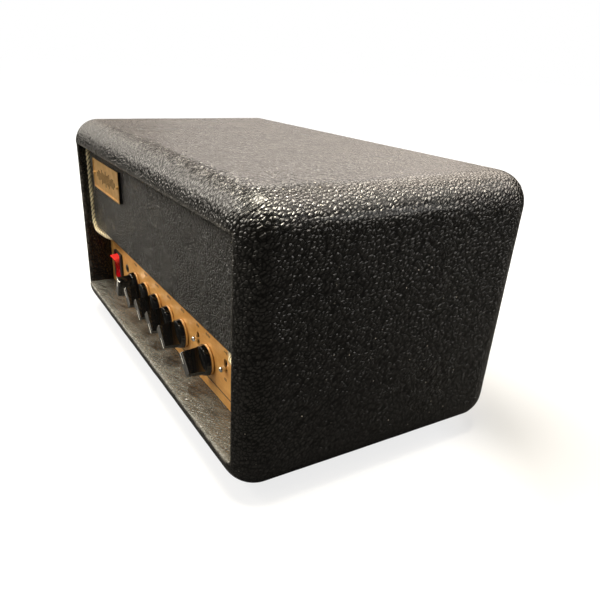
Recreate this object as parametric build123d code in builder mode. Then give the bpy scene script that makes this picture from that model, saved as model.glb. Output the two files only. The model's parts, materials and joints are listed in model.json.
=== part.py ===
"""Compact solid-state guitar amplifier head: a vinyl-covered wooden cabinet with a steel chassis.

X runs left to right as the player sees the front, Y runs from front to back and Z is up.
The origin is on the ground under the middle of the cabinet. All lengths are millimetres.
"""

from build123d import *
import math
import os

os.makedirs("parts", exist_ok=True)

# ---------------------------------------------------------------- driving dimensions

# Cabinet
cabinet_width = 318.0
cabinet_depth = 185.0
cabinet_height = 159.0
edge_radius = 19.05
vinyl = 0.8
side_wall = 13.0
level_wall = 19.0
foot_height = 8.0
finger_count = 9

# Front, measured from the cabinet's front plane
baffle_recess = 9.5
baffle_thickness = 9.2
panel_recess = 22.6
baffle_bottom_rise = 52.8
baffle_corner = 8.0
cord_radius = 2.0

# Chassis
sheet = 1.2
chassis_height = 57.0
chassis_side_gap = 0.6
rear_recess = 12.5

# Fasteners
small_screw = 1.5
small_hole = 1.6
small_head = 2.9
small_head_rise = 1.8

# Controls, heights from the cabinet floor and positions across the front
control_rise = 19.7
knob_pitch = 25.5
first_knob_x = -72.7
gain_knob_x = 71.2
toggle_rise = 27.4
toggle_places = (55.3, 96.5)
jack_x = 120.0
rocker_x = -121.2
rocker_rise = 20.5
led_x = -97.0
led_rise = 25.7

knob_angles = {
    "presence": 20.0,
    "treble": -43.0,
    "middle": 137.0,
    "bass": 137.0,
    "master": 137.0,
    "gain": -47.0,
}

# ---------------------------------------------------------------- derived levels

half_width = cabinet_width / 2
half_depth = cabinet_depth / 2
base = foot_height
middle_z = base + cabinet_height / 2
opening_half = half_width - side_wall
opening_height = cabinet_height - 2 * level_wall
floor = base + level_wall
ceiling = floor + opening_height
bare_half = opening_half + vinyl
bare_height = opening_height + 2 * vinyl

baffle_front = -half_depth + baffle_recess
baffle_back = baffle_front + baffle_thickness + 2 * vinyl
baffle_bottom = floor + baffle_bottom_rise
cord_gap = 0.2
baffle_half = opening_half - 2 * cord_radius - cord_gap
baffle_top = ceiling - 2 * cord_radius - cord_gap

panel_front = -half_depth + panel_recess
chassis_front = panel_front + sheet
chassis_inside = chassis_front + sheet
chassis_rear = half_depth - rear_recess
chassis_half = opening_half - chassis_side_gap
chassis_top = floor + chassis_height
deck = floor + sheet

control_z = floor + control_rise
toggle_z = floor + toggle_rise
rocker_z = floor + rocker_rise
led_z = floor + led_rise
knob_names = list(knob_angles)
knob_x = {name: first_knob_x + knob_pitch * i for i, name in enumerate(knob_names)}
knob_x["gain"] = gain_knob_x

lining_front_end = -57.0
lining_rear_start = 60.0
lining_middle = (lining_front_end + lining_rear_start) / 2
lining_gap = lining_rear_start - lining_front_end


# ---------------------------------------------------------------- helpers


def front_plane(x, y, z, turn=0.0):
    """Plane that faces the player, turned clockwise by turn degrees."""
    a = math.radians(turn)
    return Plane(origin=(x, y, z), x_dir=(math.cos(a), 0, -math.sin(a)), z_dir=(0, -1, 0))


def rear_plane(x, y, z):
    """Plane that faces the back of the amplifier."""
    return Plane(origin=(x, y, z), x_dir=(-1, 0, 0), z_dir=(0, 1, 0))


def level_plane(x, y, z):
    """Plane that faces up."""
    return Plane(origin=(x, y, z), x_dir=(1, 0, 0), z_dir=(0, 0, 1))


def under_plane(x, y, z):
    """Plane that faces down."""
    return Plane(origin=(x, y, z), x_dir=(1, 0, 0), z_dir=(0, 0, -1))


def post(plane, radius, length, mode=Mode.ADD):
    """Cylinder that stands on a plane, added to or cut from the open part."""
    with BuildSketch(plane) as disc:
        Circle(radius)
    extrude(disc.sketch, amount=length, mode=mode)


def block(plane, width, height, length, mode=Mode.ADD, corner=0.0):
    """Block with a centred rectangular or round-cornered outline that stands on a plane."""
    with BuildSketch(plane) as outline:
        if corner > 0:
            RectangleRounded(width, height, corner)
        else:
            Rectangle(width, height)
    extrude(outline.sketch, amount=length, mode=mode)


def hexagon(plane, across_flats, hole_radius, length):
    """Hexagon nut that stands on a plane."""
    with BuildSketch(plane) as outline:
        RegularPolygon(across_flats / 2, 6, major_radius=False)
        Circle(hole_radius, mode=Mode.SUBTRACT)
    extrude(outline.sketch, amount=length)


def screw(plane, shank_radius, shank, head_radius, head):
    """Screw whose domed head stands on a plane and whose shank goes the other way."""
    with BuildSketch(plane) as shank_disc:
        Circle(shank_radius)
    extrude(shank_disc.sketch, amount=-shank)
    post(plane, head_radius, head * 0.6)
    with BuildSketch(plane.offset(head * 0.6)) as head_disc:
        Circle(head_radius)
    extrude(head_disc.sketch, amount=head * 0.4, taper=35)
    block(plane.offset(head), head_radius * 0.9, head_radius * 0.25, -head * 0.5, Mode.SUBTRACT)
    block(plane.offset(head), head_radius * 0.25, head_radius * 0.9, -head * 0.5, Mode.SUBTRACT)


def save(piece, name):
    """Label a finished piece and write it."""
    piece.label = name
    export_step(piece, f"parts/{name}.step")


# ---------------------------------------------------------------- cabinet boards

# Rounded wooden ring that the four boards are cut from
with BuildPart() as wood_ring:
    with Locations((0, 0, middle_z)):
        Box(cabinet_width - 2 * vinyl, cabinet_depth - 2 * vinyl, cabinet_height - 2 * vinyl)
    fillet(wood_ring.edges(), edge_radius - vinyl)
    with Locations((0, 0, middle_z)):
        Box(2 * bare_half, cabinet_depth, bare_height, mode=Mode.SUBTRACT)

# Space that the side boards own: both walls, and every second finger of the corner joints
finger = cabinet_depth / finger_count
wall_middle = (bare_half + half_width) / 2
with BuildPart() as side_zone:
    for side in (-1, 1):
        with Locations((side * wall_middle, 0, middle_z)):
            Box(half_width - bare_half, cabinet_depth, bare_height)
        for i in range(0, finger_count, 2):
            with Locations((side * wall_middle, (i + 0.5) * finger - half_depth, middle_z)):
                Box(half_width - bare_half, finger, cabinet_height)

foot_places = [(x, y) for x in (-110.0, 110.0) for y in (-58.0, 58.0)]
bolt_places = [(x, y) for x in (-85.0, 85.0) for y in (-48.0, 52.0)]
foot_screw_radius = 2.0
foot_screw_length = 16.0
foot_screw_head = 3.8
foot_screw_head_rise = 2.2
bolt_radius = 2.0
bolt_head_rise = 2.6
bolt_head_radius = 4.0
bolt_sink_radius = 5.0
bolt_sink = 5.0
screw_clearance = 0.1

with BuildPart() as left_side_board:
    add(wood_ring.part)
    add(side_zone.part, mode=Mode.INTERSECT)
    split(bisect_by=Plane.YZ, keep=Keep.BOTTOM)
save(left_side_board.part, "left_side_board")

with BuildPart() as right_side_board:
    add(wood_ring.part)
    add(side_zone.part, mode=Mode.INTERSECT)
    split(bisect_by=Plane.YZ, keep=Keep.TOP)
save(right_side_board.part, "right_side_board")

with BuildPart() as top_board:
    add(wood_ring.part)
    add(side_zone.part, mode=Mode.SUBTRACT)
    split(bisect_by=Plane.XY.offset(middle_z), keep=Keep.TOP)
save(top_board.part, "top_board")

with BuildPart() as bottom_board:
    add(wood_ring.part)
    add(side_zone.part, mode=Mode.SUBTRACT)
    split(bisect_by=Plane.XY.offset(middle_z), keep=Keep.BOTTOM)
    for x, y in foot_places:
        hole = level_plane(x, y, base)
        post(hole, foot_screw_radius + screw_clearance, foot_screw_length, Mode.SUBTRACT)
    for x, y in bolt_places:
        post(level_plane(x, y, base), bolt_radius + screw_clearance, level_wall, Mode.SUBTRACT)
        post(level_plane(x, y, base), bolt_sink_radius, bolt_sink, Mode.SUBTRACT)
save(bottom_board.part, "bottom_board")

# Vinyl skin, turned into both openings but absent from the bare middle of the box
with BuildPart() as cabinet_covering:
    with Locations((0, 0, middle_z)):
        Box(cabinet_width, cabinet_depth, cabinet_height)
    fillet(cabinet_covering.edges(), edge_radius)
    with Locations((0, 0, middle_z)):
        Box(2 * opening_half, cabinet_depth, opening_height, mode=Mode.SUBTRACT)
    add(wood_ring.part, mode=Mode.SUBTRACT)
    with Locations((0, lining_middle, middle_z)):
        Box(2 * bare_half, lining_gap, bare_height, mode=Mode.SUBTRACT)
    for x, y in foot_places:
        post(level_plane(x, y, base), foot_screw_radius + screw_clearance, vinyl, Mode.SUBTRACT)
    for x, y in bolt_places:
        post(level_plane(x, y, base), bolt_sink_radius, vinyl, Mode.SUBTRACT)
save(cabinet_covering.part, "cabinet_covering")

# Square strips glued into the two inner corners under the top board
glue_size = 14.0
glue_length = 100.0
with BuildPart() as glue_blocks:
    for side in (-1, 1):
        x = side * (bare_half - glue_size / 2)
        with Locations((x, lining_middle, ceiling + vinyl - glue_size / 2)):
            Box(glue_size, glue_length, glue_size)
save(glue_blocks.part, "glue_blocks")

# Rubber feet with a sunk hole for their screw
foot_radius = 12.0
foot_sink_radius = 5.0
foot_sink = 4.5
foot_draft = 9
with BuildPart() as feet:
    for x, y in foot_places:
        with BuildSketch(level_plane(x, y, base)) as foot_disc:
            Circle(foot_radius)
        extrude(foot_disc.sketch, amount=-foot_height, taper=foot_draft)
        post(level_plane(x, y, 0), foot_screw_radius + screw_clearance, foot_height, Mode.SUBTRACT)
        post(level_plane(x, y, 0), foot_sink_radius, foot_sink, Mode.SUBTRACT)
save(feet.part, "feet")

with BuildPart() as foot_screws:
    for x, y in foot_places:
        head = under_plane(x, y, foot_sink)
        screw(head, foot_screw_radius, foot_screw_length, foot_screw_head, foot_screw_head_rise)
save(foot_screws.part, "foot_screws")

# ---------------------------------------------------------------- baffle, piping and badge

# Centre line of the cord: it rings the baffle, drifts backwards from its bottom corners and
# then lies in a groove under the baffle's bottom edge, where its ends meet at the middle. It was
# pulled tight round the right corner, so it drifts sooner there.
cord_y = baffle_front
cord_side = opening_half - cord_radius - cord_gap
cord_top = ceiling - cord_radius - cord_gap
cord_corner = baffle_corner + cord_radius + cord_gap / 2
cord_low = baffle_bottom - cord_radius - cord_gap / 2
corner_z = cord_low + cord_corner
top_corner = 6.0
cord_end = 0.5
tuck_y = baffle_front + 4.5
tuck_z = baffle_bottom + 1.6
left_tuck_x = -cord_side + 58.0
left_drift = (-cord_side + 37.0, baffle_front + 3.4, cord_low)
right_tuck_x = cord_side - 34.0
right_drift = (cord_side - 19.0, baffle_front + 3.4, cord_low)
with BuildLine() as cord_path:
    Line((-cord_end, tuck_y, tuck_z), (left_tuck_x, tuck_y, tuck_z))
    Spline(
        (left_tuck_x, tuck_y, tuck_z),
        left_drift,
        (-cord_side + cord_corner, cord_y, cord_low),
        tangents=((-1, 0, 0), (-1, 0, 0)),
    )
    TangentArc(
        (-cord_side + cord_corner, cord_y, cord_low),
        (-cord_side, cord_y, corner_z),
        tangent=(-1, 0, 0),
    )
    Line((-cord_side, cord_y, corner_z), (-cord_side, cord_y, cord_top - top_corner))
    TangentArc(
        (-cord_side, cord_y, cord_top - top_corner),
        (-cord_side + top_corner, cord_y, cord_top),
        tangent=(0, 0, 1),
    )
    Line((-cord_side + top_corner, cord_y, cord_top), (cord_side - top_corner, cord_y, cord_top))
    TangentArc(
        (cord_side - top_corner, cord_y, cord_top),
        (cord_side, cord_y, cord_top - top_corner),
        tangent=(1, 0, 0),
    )
    Line((cord_side, cord_y, cord_top - top_corner), (cord_side, cord_y, corner_z))
    TangentArc(
        (cord_side, cord_y, corner_z),
        (cord_side - cord_corner, cord_y, cord_low),
        tangent=(0, 0, -1),
    )
    Spline(
        (cord_side - cord_corner, cord_y, cord_low),
        right_drift,
        (right_tuck_x, tuck_y, tuck_z),
        tangents=((-1, 0, 0), (-1, 0, 0)),
    )
    Line((right_tuck_x, tuck_y, tuck_z), (cord_end, tuck_y, tuck_z))

cord_start = Plane(origin=(-cord_end, tuck_y, tuck_z), z_dir=(-1, 0, 0))
with BuildPart() as piping:
    with BuildSketch(cord_start) as cord_disc:
        Circle(cord_radius)
    sweep(cord_disc.sketch, path=cord_path.wires()[0])
save(piping.part, "piping")

with BuildPart() as cord_room:
    with BuildSketch(cord_start) as room_disc:
        Circle(cord_radius + cord_gap / 2)
    sweep(room_disc.sketch, path=cord_path.wires()[0])

baffle_height = baffle_top - baffle_bottom
baffle_z = (baffle_top + baffle_bottom) / 2
window_margin = 15.0
covering_bulge = 2.4

with BuildPart() as baffle_board:
    block(
        front_plane(0, baffle_back - vinyl, baffle_z),
        2 * (baffle_half - vinyl),
        baffle_height - 2 * vinyl,
        baffle_thickness,
        corner=baffle_corner - vinyl,
    )
    fillet(baffle_board.faces().sort_by(Axis.Y)[0].edges(), covering_bulge - vinyl)
    add(cord_room.part, mode=Mode.SUBTRACT)
save(baffle_board.part, "baffle_board")

with BuildPart() as baffle_covering:
    block(
        front_plane(0, baffle_back, baffle_z),
        2 * baffle_half,
        baffle_height,
        baffle_back - baffle_front,
        corner=baffle_corner,
    )
    fillet(baffle_covering.faces().sort_by(Axis.Y)[0].edges(), covering_bulge)
    block(
        front_plane(0, baffle_back, baffle_z),
        2 * (baffle_half - window_margin),
        baffle_height - 2 * window_margin,
        vinyl,
        Mode.SUBTRACT,
    )
    add(cord_room.part, mode=Mode.SUBTRACT)
    add(baffle_board.part, mode=Mode.SUBTRACT)
save(baffle_covering.part, "baffle_covering")

# Upright strips behind the baffle, inside the side walls and above the chassis
batten_width = 12.0
batten_depth = 14.0
batten_bottom = chassis_top + sheet + 1.0
batten_height = ceiling - batten_bottom - glue_size
batten_z = batten_bottom + batten_height / 2
batten_x = opening_half - batten_width / 2
baffle_screw_rises = (10.0, 36.0)
with BuildPart() as baffle_battens:
    for side in (-1, 1):
        plane = rear_plane(side * batten_x, baffle_back, batten_z)
        block(plane, batten_width, batten_height, batten_depth)
        for rise in baffle_screw_rises:
            hole = rear_plane(side * batten_x, baffle_back, batten_bottom + rise)
            post(hole, small_hole, batten_depth, Mode.SUBTRACT)
save(baffle_battens.part, "baffle_battens")

# Screws that go through the battens from behind and end in the baffle
with BuildPart() as baffle_screws:
    for side in (-1, 1):
        for rise in baffle_screw_rises:
            head = rear_plane(side * batten_x, baffle_back + batten_depth, batten_bottom + rise)
            screw(head, small_screw, batten_depth - 0.5, small_head, small_head_rise)
save(baffle_screws.part, "baffle_screws")

badge_x = -86.2
badge_rise = 101.8
badge_width = 70.5
badge_height = 22.4
badge_thickness = 2.2
badge_rim = 1.2
badge_sink = 0.4
badge_corner = 0.8
engraving = 1.2
bar_width = 1.7
stud_radius = 1.5
stud_height = 1.3
stud_draft = 25
badge_z = floor + badge_rise
stud_reach = badge_width / 2 - 2.9
bar_pitch = 3.4
bar_count = 15
shortest_bar = 3.0
tallest_swell = 9.0
ripple = 1.1
with BuildPart() as badge_plate:
    block(
        front_plane(badge_x, baffle_front, badge_z),
        badge_width,
        badge_height,
        badge_thickness,
        corner=badge_corner,
    )
    block(
        front_plane(badge_x, baffle_front - badge_thickness, badge_z),
        badge_width - 2 * badge_rim,
        badge_height - 2 * badge_rim,
        -badge_sink,
        Mode.SUBTRACT,
        corner=badge_corner / 2,
    )
    # Engraved ornament: a swelling sound wave drawn as upright bars
    for i in range(bar_count):
        step = i - (bar_count - 1) / 2
        swell = math.cos(step * math.pi / (bar_count + 3))
        bar_height = shortest_bar + tallest_swell * swell * abs(math.cos(step * ripple))
        floor_y = baffle_front - badge_thickness + engraving
        place = front_plane(badge_x + step * bar_pitch, floor_y, badge_z)
        block(place, bar_width, bar_height, engraving, Mode.SUBTRACT)
save(badge_plate.part, "badge_plate")

with BuildPart() as badge_studs:
    for side in (-1, 1):
        place = front_plane(badge_x + side * stud_reach, baffle_front - badge_thickness, badge_z)
        with BuildSketch(place.offset(-badge_sink)) as stud_disc:
            Circle(stud_radius)
        extrude(stud_disc.sketch, amount=stud_height, taper=stud_draft)
save(badge_studs.part, "badge_studs")

# ---------------------------------------------------------------- rear panel

rear_gap = 0.5
rear_panel_thickness = 9.0
rear_panel_front = 76.0
rear_panel_bottom = chassis_top + sheet + 2.0
rear_panel_height = ceiling - rear_gap - rear_panel_bottom
rear_panel_z = rear_panel_bottom + rear_panel_height / 2
rear_panel_half = opening_half - rear_gap
vent_width = 200.0
vent_height = 24.0
vent_lip = 8.0
vent_corner = 6.0
grille_thickness = 1.0
slot_pitch = 7.6
slot_width = 3.4
slot_margin = 2.0
slot_count = 25
panel_corner = 3.0
panel_bulge = 1.5
rear_screw_rows = (rear_panel_bottom + 8.0, ceiling - 9.0)
rear_screw_places = [(x, z) for x in (-batten_x, batten_x) for z in rear_screw_rows]
rear_screw_length = 20.0
rear_hole = 1.9
washer_radius = 4.6
washer_height = 1.6
washer_draft = 20

with BuildPart() as rear_panel:
    plane = rear_plane(0, rear_panel_front, rear_panel_z)
    block(
        plane,
        2 * rear_panel_half,
        rear_panel_height,
        rear_panel_thickness,
        corner=panel_corner,
    )
    fillet(rear_panel.faces().sort_by(Axis.Y)[-1].edges(), panel_bulge)
    block(plane, vent_width, vent_height, rear_panel_thickness, Mode.SUBTRACT, corner=vent_corner)
    for x, z in rear_screw_places:
        post(rear_plane(x, rear_panel_front, z), rear_hole, rear_panel_thickness, Mode.SUBTRACT)
save(rear_panel.part, "rear_panel")

with BuildPart() as vent_grille:
    plane = rear_plane(0, rear_panel_front - grille_thickness, rear_panel_z)
    block(
        plane,
        vent_width + 2 * vent_lip,
        vent_height + 2 * vent_lip,
        grille_thickness,
        corner=vent_corner - 2,
    )
    with BuildSketch(plane) as slot_holes:
        with GridLocations(slot_pitch, 0, slot_count, 1):
            SlotOverall(vent_height - 2 * slot_margin, slot_width, rotation=90)
    extrude(slot_holes.sketch, amount=grille_thickness, mode=Mode.SUBTRACT)
save(vent_grille.part, "vent_grille")

rear_batten_start = rear_panel_front - batten_depth
with BuildPart() as rear_battens:
    for side in (-1, 1):
        plane = rear_plane(side * batten_x, rear_batten_start, rear_panel_z)
        block(plane, batten_width, rear_panel_height, batten_depth)
    for x, z in rear_screw_places:
        post(rear_plane(x, rear_batten_start, z), small_hole, batten_depth, Mode.SUBTRACT)
save(rear_battens.part, "rear_battens")

rear_face = rear_panel_front + rear_panel_thickness
with BuildPart() as rear_cup_washers:
    for x, z in rear_screw_places:
        with BuildSketch(rear_plane(x, rear_face, z)) as washer_disc:
            Circle(washer_radius)
        extrude(washer_disc.sketch, amount=washer_height, taper=washer_draft)
        post(rear_plane(x, rear_face, z), rear_hole, washer_height, Mode.SUBTRACT)
save(rear_cup_washers.part, "rear_cup_washers")

with BuildPart() as rear_panel_screws:
    for x, z in rear_screw_places:
        head = rear_plane(x, rear_face + washer_height, z)
        screw(head, small_screw, rear_screw_length, small_head, small_head_rise)
save(rear_panel_screws.part, "rear_panel_screws")

# ---------------------------------------------------------------- chassis

chassis_depth = chassis_rear - chassis_front
chassis_y = (chassis_rear + chassis_front) / 2
flange = 9.0
bore_gap = 0.05
pot_hole_radius = 3.6
bushing_radius = 3.5
jack_hole_radius = 4.8
jack_bushing_radius = 4.7
jack_bore_radius = 3.25
led_hole_radius = 2.7
rocker_cut_width = 18.8
rocker_cut_height = 22.2
toggle_slot_width = 4.5
toggle_slot_height = 9.0
dc_x = 112.0
dc_width = 14.4
dc_height = 11.4
dc_length = 13.0
dc_proud = 0.8
dc_hole_radius = 2.9
dc_pin_radius = 1.0
rear_jack_places = (-100.0, -68.0, 10.0)
rear_jack_z = floor + 30.0
boss_radius = 4.0
boss_height = 4.0
cover_screw_length = 5.0
cover_screw_places = [(x, y) for x in (-125.0, 0.0, 125.0) for y in (-64.5, 75.5)]


def front_holes(y, depth):
    """Cut every front control hole from the open part, from y towards the player."""
    for x in knob_x.values():
        post(front_plane(x, y, control_z), pot_hole_radius, depth, Mode.SUBTRACT)
    for x in toggle_places:
        with BuildSketch(front_plane(x, y, toggle_z)) as slot:
            SlotOverall(toggle_slot_height, toggle_slot_width, rotation=90)
        extrude(slot.sketch, amount=depth, mode=Mode.SUBTRACT)
    post(front_plane(jack_x, y, control_z), jack_hole_radius, depth, Mode.SUBTRACT)
    post(front_plane(led_x, y, led_z), led_hole_radius, depth, Mode.SUBTRACT)
    place = front_plane(rocker_x, y, rocker_z)
    block(place, rocker_cut_width, rocker_cut_height, depth, Mode.SUBTRACT)


with BuildPart() as chassis_tray:
    block(level_plane(0, chassis_y, floor), 2 * chassis_half, chassis_depth, chassis_height)
    block(
        level_plane(0, chassis_y, deck),
        2 * (chassis_half - sheet),
        chassis_depth - 2 * sheet,
        chassis_height - 2 * sheet,
        Mode.SUBTRACT,
    )
    block(
        level_plane(0, chassis_y, chassis_top - sheet),
        2 * (chassis_half - sheet),
        chassis_depth - 2 * flange,
        sheet,
        Mode.SUBTRACT,
    )
    front_holes(chassis_inside, sheet)
    for x in rear_jack_places:
        hole = rear_plane(x, chassis_rear - sheet, rear_jack_z)
        post(hole, jack_hole_radius, sheet, Mode.SUBTRACT)
    hole = rear_plane(dc_x, chassis_rear - sheet, rear_jack_z)
    block(hole, dc_width, dc_height, sheet, Mode.SUBTRACT)
    for x, y in cover_screw_places:
        post(level_plane(x, y, chassis_top - sheet), small_hole, sheet, Mode.SUBTRACT)
    # Threaded bosses for the bolts that come up through the bottom board
    for x, y in bolt_places:
        post(level_plane(x, y, deck), boss_radius, boss_height)
        hole = level_plane(x, y, floor)
        post(hole, bolt_radius + screw_clearance, sheet + boss_height, Mode.SUBTRACT)
save(chassis_tray.part, "chassis_tray")

# Lid with two rows of cooling slots over the heatsink
cooling_x = 60.0
cooling_y = 30.0
cooling_pitch = 9.0
cooling_count = 12
cooling_length = 36.0
cooling_width = 4.0
with BuildPart() as chassis_cover:
    plane = level_plane(0, chassis_y, chassis_top)
    block(plane, 2 * chassis_half, chassis_depth, sheet, corner=2.0)
    for row in (-1, 1):
        with BuildSketch(plane) as slots:
            with Locations((cooling_x, row * cooling_y)):
                with GridLocations(cooling_pitch, 0, cooling_count, 1):
                    SlotOverall(cooling_length, cooling_width, rotation=90)
        extrude(slots.sketch, amount=sheet, mode=Mode.SUBTRACT)
    for x, y in cover_screw_places:
        post(level_plane(x, y, chassis_top), small_hole, sheet, Mode.SUBTRACT)
save(chassis_cover.part, "chassis_cover")

with BuildPart() as cover_screws:
    for x, y in cover_screw_places:
        head = level_plane(x, y, chassis_top + sheet)
        screw(head, small_screw, cover_screw_length, small_head, small_head_rise)
save(cover_screws.part, "cover_screws")

with BuildPart() as chassis_bolts:
    for x, y in bolt_places:
        head = under_plane(x, y, base + bolt_sink)
        reach = deck + boss_height - base - bolt_sink
        screw(head, bolt_radius, reach, bolt_head_radius, bolt_head_rise)
save(chassis_bolts.part, "chassis_bolts")

faceplate_gap = 0.2
faceplate_height = 55.0
with BuildPart() as faceplate:
    plane = front_plane(0, chassis_front, floor + faceplate_gap + faceplate_height / 2)
    block(plane, 2 * (opening_half - faceplate_gap), faceplate_height, sheet)
    front_holes(chassis_front, sheet)
save(faceplate.part, "faceplate")

# ---------------------------------------------------------------- power rocker

bezel_width = 21.0
bezel_height = 25.0
bezel_rim = 2.0
button_width = 13.6
window_width = button_width + 0.6
window_height = 23.0
housing_depth = 16.0
hollow_depth = 9.0
bezel_corner = 1.2
tag_width = 4.8
tag_thickness = 0.8
tag_length = 7.0
tag_pitch = 5.0
rocker_pivot_y = panel_front + 1.9
pivot_radius = 1.5
rocker_tilt = 13.0
button_half = 9.8
button_nose = 6.5
button_waist = 4.3
button_back = 4.0

with BuildPart() as rocker_housing:
    body_front = front_plane(rocker_x, panel_front, rocker_z)
    block(body_front, bezel_width, bezel_height, bezel_rim, corner=bezel_corner)
    front_ring = rocker_housing.faces().sort_by(Axis.Y)[0]
    fillet(front_ring.outer_wire().edges(), 0.8)
    body = front_plane(rocker_x, panel_front + housing_depth, rocker_z)
    block(body, rocker_cut_width - 0.4, rocker_cut_height - 0.4, housing_depth)
    hollow = front_plane(rocker_x, panel_front, rocker_z)
    block(hollow, window_width, window_height, bezel_rim, Mode.SUBTRACT)
    hollow_back = front_plane(rocker_x, panel_front + hollow_depth, rocker_z)
    block(hollow_back, window_width, rocker_cut_height - 1.6, hollow_depth, Mode.SUBTRACT)
    pin = Plane(origin=(rocker_x - window_width / 2, rocker_pivot_y, rocker_z), z_dir=(1, 0, 0))
    post(pin, pivot_radius, window_width)
    for row in (-tag_pitch, 0.0, tag_pitch):
        tag = rear_plane(rocker_x, panel_front + housing_depth, rocker_z + row)
        block(tag, tag_width, tag_thickness, tag_length)
save(rocker_housing.part, "rocker_housing")

# The button leans with its top edge out. Its profile is drawn in a plane that leans with it:
# local x points up and local y points at the player.
lean = math.radians(rocker_tilt)
button_plane = Plane(
    origin=(rocker_x - button_width / 2, rocker_pivot_y, rocker_z),
    x_dir=(0, -math.sin(lean), math.cos(lean)),
    z_dir=(1, 0, 0),
)
with BuildPart() as rocker_button:
    with BuildSketch(button_plane) as button_profile:
        with BuildLine():
            nose_low = (-button_half, button_nose)
            nose_high = (button_half, button_nose)
            waist = (0, button_waist)
            heel_high = (button_half - 0.6, -1.0)
            heel_low = (-button_half + 0.6, -1.0)
            back = (0, -button_back)
            ThreePointArc(nose_low, waist, nose_high)
            Line(nose_high, heel_high)
            Line(heel_high, back)
            Line(back, heel_low)
            Line(heel_low, nose_low)
        make_face()
        Circle(pivot_radius + bore_gap, mode=Mode.SUBTRACT)
    extrude(amount=button_width)
    sharp = rocker_button.edges().filter_by(Axis.X).group_by(Axis.Y)[0]
    fillet(sharp, 0.7)
save(rocker_button.part, "rocker_button")

# ---------------------------------------------------------------- pilot light

holder_radius = 3.3
holder_lip = 0.6
holder_length = 6.0
lens_radius = 2.0
lens_length = 5.5
with BuildPart() as led_holder:
    post(front_plane(led_x, panel_front, led_z), holder_radius, holder_lip)
    chamfer(led_holder.faces().sort_by(Axis.Y)[0].edges(), holder_lip / 2)
    holder_back = front_plane(led_x, panel_front + holder_length, led_z)
    post(holder_back, led_hole_radius - bore_gap, holder_length)
    post(holder_back, lens_radius + bore_gap, holder_length + holder_lip, Mode.SUBTRACT)
save(led_holder.part, "led_holder")

with BuildPart() as power_led:
    post(front_plane(led_x, panel_front + lens_length, led_z), lens_radius, lens_length)
    dome = power_led.faces().sort_by(Axis.Y)[0]
    fillet(dome.edges(), lens_radius * 0.6)
save(power_led.part, "power_led")

# ---------------------------------------------------------------- potentiometers and knobs

pot_width = 12.0
pot_depth = 8.5
pot_bore_depth = 16.0
bushing_length = 5.4
shaft_radius = 3.0
shaft_back = chassis_inside + 6.0
knob_gap = 0.6
knob_back = panel_front - knob_gap
skirt_radius = 10.2
skirt_wall = 1.6
shoulder_radius = 9.3
shoulder = 4.4
knob_length = 15.6
bar_root_width = 7.2
bar_tip_width = 6.2
bar_root_half = 9.0
bar_tip_half = 7.9
flat_offset = 1.5
flat_length = 8.0
shaft_front = knob_back - 13.0
knob_relief_radius = 7.4
knob_relief = 3.2
bore_depth = 13.2
round_bore_depth = 5.4
pointer_width = 1.1
pointer_depth = 0.35
nut_height = 2.0
nut_width = 10.0

with BuildPart() as pot_bodies:
    for x in knob_x.values():
        back = front_plane(x, chassis_inside + pot_depth, control_z)
        block(back, pot_width, pot_width, pot_depth, corner=1.0)
        post(front_plane(x, chassis_inside, control_z), bushing_radius, bushing_length)
        bore = front_plane(x, shaft_back + 0.5, control_z)
        post(bore, shaft_radius + bore_gap, pot_bore_depth, Mode.SUBTRACT)
save(pot_bodies.part, "pot_bodies")

with BuildPart() as pot_nuts:
    for x in knob_x.values():
        seat = front_plane(x, panel_front, control_z)
        hexagon(seat, nut_width, bushing_radius + bore_gap, nut_height)
save(pot_nuts.part, "pot_nuts")


def pot_shaft(name):
    """Round shaft with one flat at its front end."""
    x = knob_x[name]
    turn = knob_angles[name]
    with BuildPart() as shaft:
        post(front_plane(x, shaft_back, control_z), shaft_radius, shaft_back - shaft_front)
        flat = front_plane(x, shaft_front + flat_length, control_z, turn)
        with BuildSketch(flat) as flat_cut:
            with Locations((0, -flat_offset - shaft_radius)):
                Rectangle(4 * shaft_radius, 2 * shaft_radius)
        extrude(flat_cut.sketch, amount=flat_length, mode=Mode.SUBTRACT)
    save(shaft.part, f"{name}_shaft")


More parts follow.
